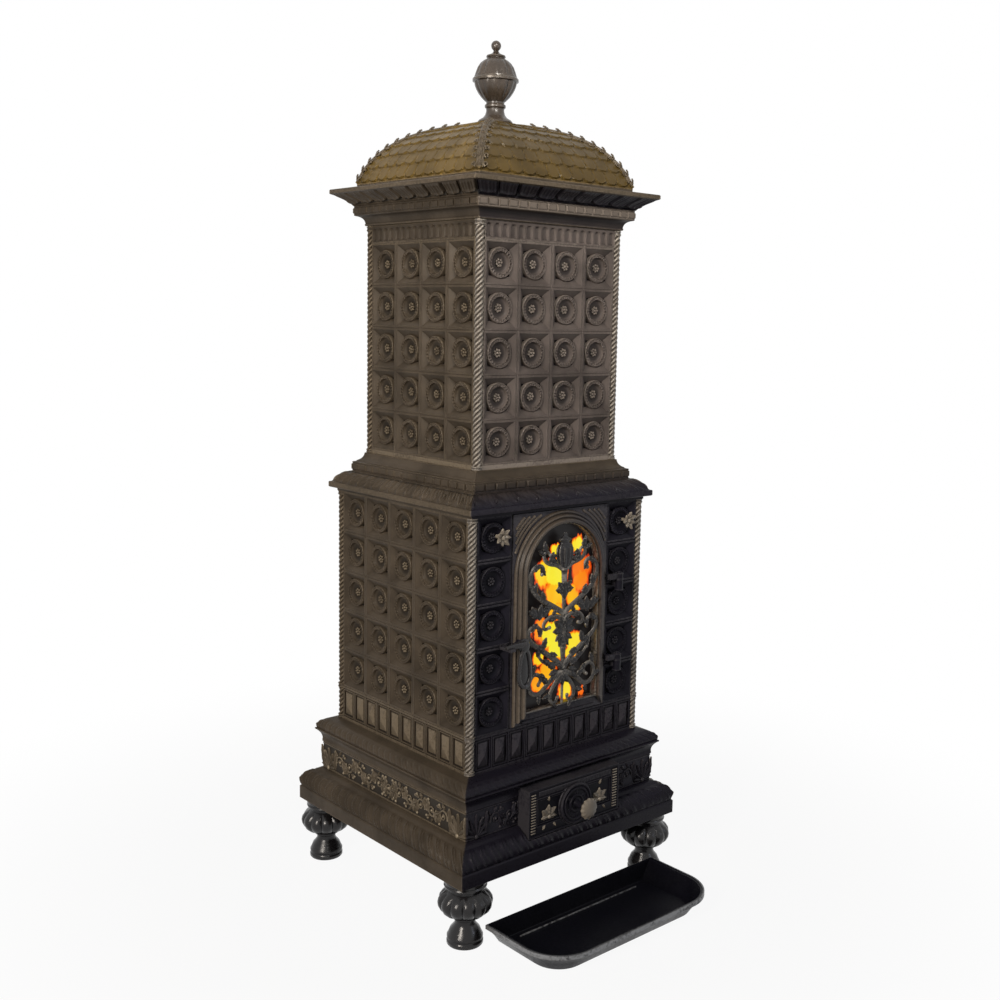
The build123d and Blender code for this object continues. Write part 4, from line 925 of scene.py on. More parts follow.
# %% [markdown]
# ## Mouldings of the cornices
# The middle cornice steps the tower in: a thin slab, a band of leaves and a band of small blocks. The crown
# repeats the blocks below a wide row of lotus leaves and a thin slab. The bands are short stretches of the
# same outline, and a point's height tells which of them it belongs to.

# %% Shape the bands
LEAF_LEVELS, STEP_LEVELS = (842.0, 864.5), (865.0, 885.0)
CROWN_BLOCK_LEVELS, LOTUS_LEVELS = (1401.5, 1420.5), (1422.0, 1443.5)


def share_of(levels, z):
    """How far up a band a height lies, or None outside it."""
    low, high = levels
    return (z - low) / (high - low) if low < z < high else None


def blocks(across, up, count):
    lobe = beat(across, count)
    flat = smooth(lobe, 0.05, 0.10) * (1 - smooth(lobe, 0.90, 0.95)) + 0.5 * ridge(lobe, 0.14, 0.04)
    body = smooth(up, 0.16, 0.24) * (1 - smooth(up, 0.76, 0.84))
    return 2.3 * flat * body + 0.9 * ridge(up, 0.04, 0.05) + 0.9 * ridge(up, 0.96, 0.05)


def rolled_leaves(across, up):
    """The slanting leaves with a rolled tip, on the front and the rear."""
    lobe = beat(across, 9, 0.9 * up)
    leaf = abs(math.sin(math.pi * lobe)) ** 0.6
    veins = 1.8 * abs(math.sin(4 * math.pi * (lobe - 0.55 * up)))
    curl = 2.4 * ridge(math.hypot(3.2 * (beat(across, 9, 0.35) - 0.5), 1.1 * (up - 0.3)), 0.2, 0.07)
    return (2.6 * leaf + veins * leaf + curl - 2.2) * smooth(up, 0.0, 0.12) * (1 - smooth(up, 0.88, 1.0))


def heart_leaves(across, up):
    """The upright heart-shaped leaves of the two sides."""
    lobe = beat(across, 17)
    edge = 0.8 * abs(2 * lobe - 1) ** 2.2
    leaf = smooth(up, edge - 0.1, edge + 0.12) * (1 - smooth(up, 0.86, 0.98))
    eye = ridge(math.hypot(3.0 * (lobe - 0.5), up - 0.5), 0.55, 0.16)
    return 3.4 * leaf - 1.6 * eye + 1.4 * ridge(lobe, 0.5, 0.09) * (1 - smooth(up, 0.8, 0.95)) - 1.0


def lotus_leaves(across, up):
    away = abs(2 * beat(across, 9) - 1)
    edge = 0.10 + 0.30 * away ** 3
    leaf = (1 - smooth(away, 0.80, 0.90)) * smooth(up, edge, edge + 0.08)
    rim = 1.3 * ridge(away, 0.68, 0.10) + 1.3 * ridge(up, edge + 0.14, 0.07)
    vein = 1.5 * ridge(away, 0.0, 0.10) + 1.0 * ridge(away, 0.36, 0.07) * smooth(up, 0.3, 0.5)
    dart = 3.0 * ridge(away, 1.0, 0.05)
    return (4.2 * leaf + (rim + vein) * leaf + dart - 3.2) * (1 - smooth(up, 0.93, 1.0))


print("bands of blocks, leaves and lotus are ready")

# %% Cast the middle cornice and the crown
def mid_relief(side, across, z, half):
    leaves, steps = share_of(LEAF_LEVELS, z), share_of(STEP_LEVELS, z)
    if leaves is not None:
        return rolled_leaves(across, leaves) if side % 2 == 0 else heart_leaves(across, leaves)
    return blocks(across, steps, 16) if steps is not None else 0.0


def crown_relief(side, across, z, half):
    steps, lotus = share_of(CROWN_BLOCK_LEVELS, z), share_of(LOTUS_LEVELS, z)
    if steps is not None:
        return blocks(across, steps, 17)
    return lotus_leaves(across, lotus) if lotus is not None else 0.0


def even(start, end, count):
    """Evenly spaced points, so that a straight band can carry relief."""
    return [tuple(start[i] + (end[i] - start[i]) * step / count for i in (0, 1)) for step in range(count + 1)]


mid_profile = [(CASING_HALF, MID_LOW), (CASING_HALF, 828.0), (234.0, 829.0), (244.0, 829.0), (245.5, 830.5),
               (245.5, 839.5), (244.5, 841.0)]
mid_profile += arc((241.0, 841.5), (228.0, 856.0), (211.5, 865.0), 16)
mid_profile += even((208.5, 865.2), (208.5, 884.8), 14) + [(207.0, 885.5), (203.0, 886.5)]
mid_profile += arc((202.0, 888.0), (194.0, 894.0), (190.5, 903.0), 6) + [(190.5, 904.0), (189.0, UPPER_LOW)]
bm = bmesh.new()
square_moulding(bm, mid_profile, 230, mid_relief, 162.0)
cast("mid_cornice_moulding", bm, "stove_body", "casing_iron", ["mid_cornice"])

crown_profile = [(189.0, CROWN_LOW + 0.3), (190.5, 1381.0), (190.5, 1384.5), (189.5, 1385.5)]
crown_profile += arc((190.0, 1386.5), (194.5, 1396.0), (205.0, 1400.5), 6)
crown_profile += even((206.5, 1401.5), (206.5, 1420.5), 14)
crown_profile += arc((208.5, 1421.5), (221.0, 1433.0), (240.0, 1443.7), 16)
crown_profile += [(241.5, 1444.2), (243.5, 1445.5), (243.5, 1452.5), (242.0, 1454.0), (204.0, 1456.5),
                  (202.5, 1458.0), (202.5, 1464.0)]
bm = bmesh.new()
square_moulding(bm, crown_profile, 230, crown_relief, 165.5)
square_moulding(bm, [(170.5, 1368.5), (170.5, 1381.5)], 1, None, 165.5)
cast("crown_moulding", bm, "crown_lid", "casing_iron", ["crown_cornice"])

# %% [markdown]
# ## The lower frieze
# Between base cap and tiles runs a row of small pyramids, each in a thin frame. A frame and its pyramid are
# one face, inset step by step and poked to a point. The rear, which stands against a wall, is a plain sunk
# panel.

# %% Cast the pyramid frieze
PYRAMIDS = 10
PYRAMID_STEPS = ((1.6, 0.0), (0.6, -2.0), (1.0, 0.0), (0.6, 2.0), (1.8, 0.0), (0.8, -3.0), (2.8, 0.0),
                 (0.4, 1.6))
FRIEZE_WALL = 8.0


def pyramid_pattern(width, height):
    bm = bmesh.new()
    bmesh.ops.create_grid(bm, x_segments=1, y_segments=1, size=0.5)
    bmesh.ops.scale(bm, vec=(width, height, 1), verts=bm.verts)
    bm.faces.ensure_lookup_table()
    face = bm.faces[0]
    inset(bm, face, PYRAMID_STEPS)
    bmesh.ops.poke(bm, faces=[face], offset=7.0)
    return as_mesh(bm)


def outermost(bm):
    return max(bm.faces, key=lambda face: face.calc_center_median().z)


def innermost(bm):
    return min(bm.faces, key=lambda face: face.calc_center_median().z)


def sunk_panel():
    wall = bmesh.new()
    slab(wall, (-LOWER_FIELD, LOWER_LOW, -FRIEZE_WALL), (LOWER_FIELD, TILES_LOW, 0.0))
    inset(wall, outermost(wall), ((6.0, 0.0), (1.0, -1.2), (2.0, 0.0)))
    return as_mesh(wall)


def pyramid_row():
    wall = bmesh.new()
    pitch = 2 * LOWER_FIELD / PYRAMIDS
    pyramid = pyramid_pattern(pitch, 66.0)
    for index in range(PYRAMIDS):
        stamp(wall, pyramid, moved(-LOWER_FIELD + pitch * (index + 0.5), (LOWER_LOW + TILES_LOW) / 2, 0))
    bmesh.ops.remove_doubles(wall, verts=wall.verts, dist=MERGE)
    backed(wall, FRIEZE_WALL)
    for low, high in ((LOWER_LOW, LOWER_LOW + 3.5), (TILES_LOW - 3.5, TILES_LOW)):
        slab(wall, (-LOWER_FIELD, low, -FRIEZE_WALL), (LOWER_FIELD, high, 0.8), bevel=0.4)
    return as_mesh(wall)


bm = bmesh.new()
for side in SIDE_TURN:
    stamp(bm, sunk_panel() if side == "rear" else pyramid_row(), on_side(side, 0, 0, LOWER_FACE))
for side in range(4):
    slab(bm, (-221.0, -221.0, LOWER_LOW), (-207.0, -207.0, TILES_LOW), turned(90 * side))
cast("pyramid_frieze", bm, "stove_body", "casing_iron", ["lower_frieze"], crease=16)

# %% [markdown]
# ## Feet and finial
# Both are turned forms with gadroons, the swelling lobes of old silver. An outline is spun, then the radius
# of the bun is swollen by a wave round it.

# %% Cast the feet and the finial
def gadroons(count, low, high, depth):
    def wave(turn, z):
        inside = smooth(z, low, low + 5.0) * (1 - smooth(z, high - 5.0, high))
        return 1 - depth * inside * (1 - abs(math.cos(count * turn / 2)) ** 0.6)
    return wave


foot_outline = [
    (0, 0), (34.0, 0), (35.5, 2.0), (35.5, 7.0), (33.5, 9.0), (33.0, 12.0), (35.0, 14.0), (35.0, 17.0),
    (33.0, 20.0), (29.0, 30.0), (22.0, 38.0), (20.0, 43.0), (20.0, 48.0), (23.5, 51.0), (23.5, 53.5),
    (28.0, 56.0), (40.0, 62.0), (48.5, 69.5), (53.0, 78.0), (54.0, 85.0), (52.5, 92.0), (47.0, 100.0),
    (38.5, 106.0), (35.5, 109.0), (36.0, 113.0), (41.0, 116.0), (42.0, 119.0), (40.0, 122.0), (42.0, 125.0),
    (42.0, PLINTH_LOW), (0, PLINTH_LOW)]
FOOT_CENTRE, FINIAL_LOW, FINIAL_SPLIT = 250.0, 1590.0, 1682.0
for corner, turn in CORNER_TURN.items():
    bm = bmesh.new()
    lathe(bm, foot_outline, 96, wave=gadroons(12, 54.0, 106.0, 0.10))
    bmesh.ops.translate(bm, verts=bm.verts, vec=(-FOOT_CENTRE, -FOOT_CENTRE, 0))
    bmesh.ops.transform(bm, matrix=turned(turn), verts=bm.verts)
    cast("turned_foot_" + corner, bm, "stove_body", "casing_iron", ["foot_" + corner], finish="foot_iron")

bowl_outline = [
    (5.5, FINIAL_LOW), (34.0, FINIAL_LOW), (36.0, 1593.0), (36.0, 1595.0), (33.0, 1598.5), (25.0, 1603.0),
    (20.5, 1609.0), (18.5, 1616.0), (18.5, 1621.0), (21.5, 1624.0), (21.5, 1628.5), (18.5, 1631.0),
    (18.5, 1634.5), (22.0, 1637.0), (30.0, 1645.0), (36.0, 1653.0), (40.5, 1661.0), (43.5, 1669.0),
    (44.0, 1673.5), (47.4, 1675.5), (47.4, 1680.0), (45.5, FINIAL_SPLIT), (5.5, FINIAL_SPLIT)]
bm = bmesh.new()
lathe(bm, bowl_outline, 80, wave=gadroons(14, 1636.0, 1676.0, 0.09))
close_holes(bm)
cast("finial_bowl", bm, "crown_lid", "roof_iron", ["finial_base"], finish="finial_iron")

cover_outline = [
    (0, FINIAL_SPLIT), (44.0, FINIAL_SPLIT), (44.0, 1684.0), (43.0, 1688.0), (41.0, 1694.0), (37.5, 1703.0),
    (32.0, 1711.0), (25.0, 1717.0), (18.5, 1720.5), (18.0, 1722.0), (20.0, 1724.0), (19.0, 1727.0),
    (11.0, 1730.0), (7.0, 1733.0), (5.0, 1736.5), (6.5, 1738.5)]
knob = [(10.2 * math.sin(math.radians(angle)), 1746.5 - 10.5 * math.cos(math.radians(angle)))
        for angle in range(45, 181, 15)]
bm = bmesh.new()
lathe(bm, cover_outline + knob, 80, wave=gadroons(14, 1684.0, 1722.0, 0.08))
cast("finial_cover", bm, "crown_lid", "roof_iron", ["finial_top"], finish="finial_iron")

# %% [markdown]
# ## Stock ornaments: the leaf, the scroll and the palmette
# A pattern shop keeps a few carved ornaments and uses them everywhere. The leaf is a small grid pulled to a
# leaf's outline with a midrib and side veins; the scroll is a bevelled curve that thins towards its eye; the
# palmette is a fan of leaves.

# %% Carve a leaf
def leaf_pattern(length, width, lobes=3, rise=3.0, curl=1.5, rows=12):
    bm = bmesh.new()
    bmesh.ops.create_grid(bm, x_segments=8, y_segments=rows, size=0.5)
    for vert in bm.verts:
        across, up = 2 * vert.co.x, vert.co.y + 0.5
        lobe = 1 - 0.22 * abs(math.sin(math.pi * lobes * up))
        half = width / 2 * max(math.sin(math.pi * min(up, 0.999) ** 0.8), 0.0) ** 0.7 * lobe
        dome = rise * (1 - across * across) * math.sin(math.pi * (0.12 + 0.8 * up))
        veins = 0.5 * math.sin(2 * math.pi * lobes * up + 4 * abs(across))
        rib = 0.25 * rise * (ridge(across, 0, 0.16) + veins)
        vert.co = (across * half, up * length, dome + rib * (1 - across * across) + curl * up * up)
    bmesh.ops.remove_doubles(bm, verts=bm.verts, dist=0.02)
    for vert in drawn_out(bm, open_edges(bm)):
        vert.co.z = min(vert.co.z - 0.3, -0.5)
    close_holes(bm)
    return as_mesh(bm)


leaf = leaf_pattern(30.0, 17.0)
small_leaf = leaf_pattern(18.0, 11.0, 2, 2.4, 1.2, 9)
print("leaf:", len(leaf.polygons), "faces, small leaf:", len(small_leaf.polygons), "faces")

# %% Bend a bar
def bar_pattern(points, radii, flat=1.0, closed=False, resolution=4):
    """A round bar that follows a smooth line; flat squashes it outwards."""
    curve = bpy.data.curves.new("bar", "CURVE")
    curve.dimensions = "3D"
    curve.bevel_depth = 1.0
    curve.bevel_resolution = 2
    curve.use_fill_caps = True
    spline = curve.splines.new("NURBS")
    spline.points.add(len(points) - 1)
    for point, place, radius in zip(spline.points, points, radii):
        point.co = (place[0], place[1], place[2] if len(place) > 2 else 0.0, 1.0)
        point.radius = radius
    spline.order_u = 3
    spline.use_cyclic_u = closed
    spline.use_endpoint_u = not closed
    spline.resolution_u = resolution
    holder = bpy.data.objects.new("bar", curve)
    mesh = bpy.data.meshes.new_from_object(holder)
    bpy.data.objects.remove(holder)
    bpy.data.curves.remove(curve)
    bm = bmesh.new()
    bm.from_mesh(mesh)
    bmesh.ops.scale(bm, vec=(1, 1, flat), verts=bm.verts)
    return as_mesh(bm)


def spiral(x, y, start, end, first, last, count):
    """Points that wind in from one radius to another between two angles."""
    points = []
    for step in range(count + 1):
        t = step / count
        turn = math.radians(first + (last - first) * t)
        radius = start + (end - start) * t ** 0.8
        points.append((x + radius * math.cos(turn), y + radius * math.sin(turn)))
    return points


def taper(count, start, end):
    return [start + (end - start) * index / (count - 1) for index in range(count)]


print("a bar that thins in three steps:", taper(3, 2.0, 1.0))

# %% Carve the bead, the palmette and the scroll
def bead_pattern(radius, flat=0.8):
    bm = bmesh.new()
    bmesh.ops.create_icosphere(bm, subdivisions=2, radius=radius)
    bmesh.ops.scale(bm, vec=(1, 1, flat), verts=bm.verts)
    return as_mesh(bm)


def palmette_pattern(height, spread, count):
    bm = bmesh.new()
    for index in range(count):
        angle = spread * (2 * index / (count - 1) - 1)
        long = height * (1 - 0.30 * abs(angle) / spread)
        stamp(bm, leaf_pattern(long, 0.30 * height, 1, 2.6, 2.2), turned(-angle))
    stamp(bm, bead_pattern(0.12 * height), moved(0, 0, 1.2))
    return as_mesh(bm)


def scroll_pattern(size, turns=1.35):
    """A C-scroll with a ball in its eye and leaves along its back."""
    bm = bmesh.new()
    line = spiral(0, 0, size, 0.22 * size, 200, 200 - 360 * turns, 14)
    stamp(bm, bar_pattern(line, taper(len(line), 0.13 * size, 0.07 * size), 0.9), moved(0, 0, 1.0))
    stamp(bm, bead_pattern(0.20 * size, 1.0), moved(0, 0, 1.0))
    for angle in (150, 105, 62, 20):
        turn = math.radians(angle)
        stamp(bm, leaf_pattern(0.75 * size, 0.42 * size, 2, 2.4, 1.8),
              moved(0.95 * size * math.cos(turn), 0.95 * size * math.sin(turn), 0.4) @ turned(angle - 130))
    return as_mesh(bm)


palmette = palmette_pattern(36.0, 82.0, 7)
scroll = scroll_pattern(15.0)
bead = bead_pattern(3.0)
print("palmette:", len(palmette.polygons), "faces, scroll:", len(scroll.polygons), "faces")

# %% [markdown]
# ## A flower beside the door
# The top tile on each side of the door carries a worn flower that stands well clear of the wall on a stem.
# It could be a bump on the tile, but it throws a shadow and shows its edge from the side, so seven leaves of
# the stock pattern are set round a turned stem.

# %% Set a flower in the top tile of each pier
PETALS, FLOWER_SHIFT, FLOWER_RISE = 7, 13.0, 6.0
stem_outline = [(0, -11.0), (4.0, -11.0), (3.2, -2.0), (4.5, 5.0), (4.5, 11.0), (2.5, 13.0), (0, 13.5)]
bm = bmesh.new()
for centre, first in ((-172.0, 12), (172.0, -8)):
    tile_middle = on_side("front", centre, MID_LOW - 42.0, LOWER_FACE)
    for number in range(PETALS):
        petal = turned(360 / PETALS * number + first) @ moved(0, 1.5, 0) @ turned(20, "X") \
            @ sized(1.25, 1.05 - 0.15 * (number % 2), 1.3)
        stamp(bm, small_leaf, tile_middle @ moved(FLOWER_SHIFT, 0, FLOWER_RISE) @ petal)
    lathe(bm, stem_outline, 16, tile_middle @ moved(FLOWER_SHIFT, 0, 0))
cast("pier_flowers", bm, "stove_body", "door_iron", finish="worn_iron")

# %% [markdown]
# ## Foliage on the base frieze
# The base frieze has a palmette at each corner and scrolling foliage between. The plates stay as the frame
# has them, with a dark ground, and the foliage is set on them as a separate piece with a brighter finish.
# Thin fillets close the band above and below.

# %% Set the foliage
FRIEZE_MIDDLE = (FRIEZE_LOW + CAP_LOW) / 2
SCROLLS = {"front": (182.0, 148.0), "side": (184.0, 147.0, 110.0, 73.0, 36.0, 0.0)}
bm = bmesh.new()
for side in ("front", "left", "right"):
    for sign in (-1, 1):
        flip = MIRROR if sign > 0 else HERE
        stamp(bm, palmette, on_side(side, sign * 230.0, 208.0, FRIEZE_FACE) @ flip @ sized(1.05, 1.25, 1.15))
        for x, lean in ((251.0, 8), (207.0, -4)):
            stamp(bm, leaf, on_side(side, sign * x, 206.0, FRIEZE_FACE) @ flip @ turned(lean)
                  @ sized(0.8, 1.6, 1.2))
        for number, x in enumerate(SCROLLS["front" if side == "front" else "side"]):
            over = UPSIDE_DOWN if number % 2 else HERE
            if x or sign > 0:
                stamp(bm, scroll, on_side(side, sign * x, FRIEZE_MIDDLE, FRIEZE_FACE) @ flip @ over)
            for lean, offset, high in ((20, 17, 20), (-25, 22, 20), (60, 26, 6)):
                stamp(bm, small_leaf, on_side(side, sign * (x - offset), FRIEZE_MIDDLE, FRIEZE_FACE) @ flip
                      @ over @ moved(0, -high, 0) @ turned(lean) @ sized(1.15, 1.25, 1.3))
            for offset, high in ((13, 19), (18, 15), (12, -20)):
                stamp(bm, bead, on_side(side, sign * (x - offset), FRIEZE_MIDDLE, FRIEZE_FACE) @ over
                      @ moved(0, high, 0.6))
cast("base_foliage", bm, "stove_body", "casing_iron", finish="leaf_iron")

# %% Lay the fillets
bm = bmesh.new()
SIDE_SPANS = ((-FRIEZE_FACE, FRIEZE_FACE),)
FRONT_SPANS = ((-FRIEZE_FACE, -124.6), (124.6, FRIEZE_FACE))
for side in ("front", "left", "right", "rear"):
    for z in (FRIEZE_LOW + 2.0, CAP_LOW - 2.0):
        for low, high in FRONT_SPANS if side == "front" else SIDE_SPANS:
            slab(bm, (low, -FRIEZE_FACE - 1.6, z - 1.4), (high, -FRIEZE_FACE + 1.0, z + 1.4),
                 turned(SIDE_TURN[side]), 0.6)
cast("base_fillets", bm, "stove_body", "casing_iron")

# %% [markdown]
# ## The roof of slates
# The lid is cast as if it were covered with scalloped slates. The same mitred moulding makes it: its outline
# is the roof's own section, two arcs that run into each other, and the relief works out which slate lies
# uppermost at each place.

# %% Measure the roof's slope
SHOULDER_RADIUS, CROWN_RADIUS = 158.3, 301.3
SHOULDER_CENTRE, CROWN_CENTRE = (50.0, 1421.7), (0.0, 1287.7)
SHOULDER_START, SHOULDER_END = math.radians(15.5), math.radians(69.54)
ARCS_MEET = 105.3
SHOULDER_LENGTH = SHOULDER_RADIUS * (SHOULDER_END - SHOULDER_START)
ROOF_LENGTH = SHOULDER_LENGTH + CROWN_RADIUS * math.asin(ARCS_MEET / CROWN_RADIUS)


def roof_point(length):
    """Half width and height of the roof at a distance up its slope."""
    if length < SHOULDER_LENGTH:
        turn = SHOULDER_START + length / SHOULDER_RADIUS
        return (SHOULDER_CENTRE[0] + SHOULDER_RADIUS * math.cos(turn),
                SHOULDER_CENTRE[1] + SHOULDER_RADIUS * math.sin(turn))
    turn = (ROOF_LENGTH - length) / CROWN_RADIUS
    return CROWN_RADIUS * math.sin(turn), CROWN_CENTRE[1] + CROWN_RADIUS * math.cos(turn)


def roof_length(half, z):
    """The distance up the slope at which a half width and height lie."""
    if half > ARCS_MEET:
        turn = math.atan2(z - SHOULDER_CENTRE[1], half - SHOULDER_CENTRE[0])
        return (turn - SHOULDER_START) * SHOULDER_RADIUS
    return ROOF_LENGTH - CROWN_RADIUS * math.asin(half / CROWN_RADIUS)


print("the slope is", round(ROOF_LENGTH), "mm long")

# %% Cast the roof
COURSE, SLATE, EAVE, SAG = 28.5, 31.2, 12.0, 9.0
SLOPE_ROWS = 110


def slate_relief(side, across, z, half):
    up = roof_length(half, z)
    course = math.floor((up - EAVE) / COURSE)
    for level in (course + 1, course):
        offset = 2 * ((across * half / SLATE + 0.5 * (level % 2)) % 1.0) - 1
        edge = EAVE + level * COURSE - SAG * math.sqrt(max(1 - offset * offset, 0.0))
        if up >= edge and level >= 0:
            fall = (up - edge) / COURSE
            joint = 1.8 * ridge(abs(offset), 1.0, 0.09) * (1 - smooth(fall, 0.7, 0.95))
            return 3.8 - 3.0 * min(fall, 1.0) - joint
    return 0.4


slope = [roof_point((ROOF_LENGTH - 30.0) * row / SLOPE_ROWS) for row in range(SLOPE_ROWS + 1)]
bm = bmesh.new()
square_moulding(bm, slope, 124, slate_relief)
slab(bm, (-38.0, -38.0, 1580.0), (38.0, 38.0, 1589.0), bevel=2.0)
cast("slate_roof", bm, "crown_lid", "roof_iron", ["roof_dome"], crease=30)

# %% [markdown]
# ## The hips
# Where two slopes meet, three bars hide the joint, a round one on the edge and one down each side, with low
# leaves along them and a little curl on each side of a leaf. They follow the same slope as the slates, so
# their points come from the same function.

# %% Set the ribs on the hips
HIP_LEAVES, HIP_ROWS, SIDE_SHIFT = 11, 14, 5.5
hip = [roof_point(5.0 + (ROOF_LENGTH - 43.0) * row / HIP_ROWS) for row in range(HIP_ROWS + 1)]
hip_bars = []
for width, left_shift, right_shift in ((3.6, 0.0, 0.0), (3.2, 0.0, SIDE_SHIFT), (3.2, SIDE_SHIFT, 0.0)):
    line = [(half + 0.4 - left_shift, -half - 0.4 + right_shift, z + 1.4) for half, z in hip]
    hip_bars.append(bar_pattern(line, [width] * len(line), resolution=3))
curl = bar_pattern(spiral(0, 0, 6.2, 1.6, 250, -90, 10), taper(11, 2.0, 1.2), 0.8, resolution=3)
bm = bmesh.new()
for corner in range(4):
    for bar in hip_bars:
        stamp(bm, bar, turned(90 * corner))
    for number in range(HIP_LEAVES):
        length = 10.0 + number * (ROOF_LENGTH - 58.0) / 10.5
        half, z = roof_point(length)
        ahead_half, ahead_z = roof_point(length + 4.0)
        climb = math.degrees(math.atan2(ahead_z - z, math.sqrt(2) * (half - ahead_half)))
        place = turned(90 * corner) @ moved(half, -half, z + 1.0) @ turned(45) @ turned(climb, "X")
        stamp(bm, small_leaf, place @ moved(0, -3.0, 2.6) @ turned(16, "X") @ sized(0.9, 0.75, 1.0))
        for sign in (-1, 1):
            stamp(bm, curl, place @ turned(sign * 26, "Y") @ moved(sign * 12.0, 4.0, 3.2) @ sized(sign, 1, 1))
cast("hip_ribs", bm, "crown_lid", "roof_iron", crease=30, finish="hip_iron")

# %% [markdown]
# ## The fire door
# The door is one casting: a plate with a stilted arched window, three rising reeds round it, a few thin
# curved flutes in the spandrels, a boss for the handle and two hinge eyes. The reeds are one section spun
# half a turn about the arch's centre, whose two ends are then drawn down. They are a piece of their own
# here: they are lighter and browner than the plate, as painted light, and their right half is darkened as
# painted shade.

# %% Draw the plate and the reeds
DOOR_FACE, DOOR_BACK = 230.0, 222.0
SPRING, ARCH_OUTER, ARCH_INNER = 695.0, 124.0, 100.0
DOOR_LOW, DOOR_HIGH, DOOR_HALF, SILL = 394.0, 820.0, 127.0, 418.0
ARCH_STEPS = 40


def arch_sweep(bm, section, foot):
    """Carries a closed section of (radius, out) round the arch and down to the feet; foot(radius) is where
    each line of it ends."""
    verts = [bm.verts.new((radius, SPRING, out)) for radius, out in section]
    edges = [bm.edges.new((verts[index - 1], verts[index])) for index in range(len(verts))]
    last = bmesh.ops.spin(bm, geom=verts + edges, cent=(0, SPRING, 0), axis=(0, 0, 1), angle=math.pi,
                          steps=ARCH_STEPS)["geom_last"]
    for ends in (edges, [item for item in last if isinstance(item, bmesh.types.BMEdge)]):
        for vert in drawn_out(bm, ends):
            vert.co.y = foot(abs(vert.co.x))
    close_holes(bm)


def door_sheet():
    """The plate with its arched window, as a flat face given a thickness."""
    bm = bmesh.new()
    start = bm.verts.new((ARCH_INNER, SPRING, 0))
    bmesh.ops.spin(bm, geom=[start], cent=(0, SPRING, 0), axis=(0, 0, 1), angle=math.pi, steps=ARCH_STEPS)
    left = min(bm.verts, key=lambda vert: vert.co.x)
    low_left, low_right = bm.verts.new((-ARCH_INNER, SILL, 0)), bm.verts.new((ARCH_INNER, SILL, 0))
    for pair in ((left, low_left), (low_left, low_right), (low_right, start)):
        bm.edges.new(pair)
    rim = [bm.verts.new((x, y, 0)) for x, y in ((-DOOR_HALF, DOOR_LOW), (DOOR_HALF, DOOR_LOW),
                                                (DOOR_HALF, DOOR_HIGH), (-DOOR_HALF, DOOR_HIGH))]
    for index in range(4):
        bm.edges.new((rim[index - 1], rim[index]))
    bmesh.ops.triangle_fill(bm, use_beauty=True, edges=bm.edges)
    made = bmesh.ops.extrude_face_region(bm, geom=bm.faces)["geom"]
    bmesh.ops.translate(bm, verts=only_verts(made), vec=(0, 0, DOOR_BACK - DOOR_FACE))
    return as_mesh(bm)


def reed_line():
    section = [(ARCH_OUTER, -7.0)]
    for reed in range(3):
        outer = ARCH_OUTER - 8.0 * reed
        base = 5.6 * reed
        section += [(outer - 0.3, base), (outer - 0.9, base + 3.8), (outer - 2.2, base + 5.3),
                    (outer - 4.2, base + 5.6), (outer - 6.0, base + 4.9), (outer - 7.0, base + 3.9)]
    return section[:-2] + [(ARCH_INNER + 1.5, 16.2), (ARCH_INNER, 15.0), (ARCH_INNER, -7.0)]


def spandrel_bar(radius):
    """A curved bar that fits between the arch and the corner of the plate."""
    low = max(math.acos(min((DOOR_HALF - 4.0) / radius, 1.0)), 0.0) + 0.03
    high = math.asin(min((DOOR_HIGH - SPRING - 5.0) / radius, 1.0)) - 0.03
    turns = [low + (high - low) * step / 8 for step in range(9)]
    line = [(radius * math.cos(turn), SPRING + radius * math.sin(turn)) for turn in turns]
    return bar_pattern(line, [2.9] * 9, 0.9)


print("the reeds have", len(reed_line()), "points")

# %% Cast the door
HINGE, HINGE_LEVELS = (151.0, -246.0), (478.0, 650.0)
LATCH = (-114.0, 564.0)
BOSS = [(5.3, 222.0), (10.0, 222.0), (10.0, 243.0), (12.5, 245.0), (12.5, 247.5), (10.5, 248.8), (5.3, 248.8)]
front_door = on_side("front", 0, 0, DOOR_FACE)
plate = bmesh.new()
stamp(plate, door_sheet())
slab(plate, (-ARCH_INNER, DOOR_LOW + 2.0, -1.0), (ARCH_INNER, DOOR_LOW + 8.0, 3.0), bevel=1.2)
slab(plate, (-ARCH_INNER, SILL - 7.0, -1.0), (ARCH_INNER, SILL, 6.0), bevel=1.5)
bm = bmesh.new()
stamp(bm, as_mesh(plate), front_door)
lathe(bm, BOSS, 28, moved(LATCH[0], 0, LATCH[1]) @ turned(90, "X"))
for level in HINGE_LEVELS:
    low, high = level + 12.3, level + 24.3
    knuckle = [(4.2, low), (8.6, low), (9.0, low + 0.6), (9.0, low + 1.8), (8.2, low + 2.4),
               (8.2, high - 2.4), (9.0, high - 1.8), (9.0, high - 0.6), (8.4, high), (4.2, high), (4.2, low)]
    lathe(bm, knuckle, 28, moved(*HINGE, 0))
    for left, right, back, bevel in ((124.5, 144.5, HINGE[1] + 4.0, 1.0), (121.0, 127.0, -229.5, 0.8)):
        slab(bm, (left, HINGE[1] - 4.0, low + 0.2), (right, back, high - 0.2), bevel=bevel)
cast("arched_door", bm, "fire_door", "door_iron", ["door_plate"], crease=42)

reeds = bmesh.new()
arch_sweep(reeds, reed_line(), lambda radius: DOOR_LOW + 1.0 + (ARCH_OUTER - radius))
for radius in (131.0, 138.5, 146.0, 153.5):
    for flip in (HERE, MIRROR):
        stamp(reeds, spandrel_bar(radius), flip)
bm = bmesh.new()
stamp(bm, as_mesh(reeds), front_door)
cast("door_reeds", bm, "fire_door", "door_iron", crease=42, finish="reed_iron")

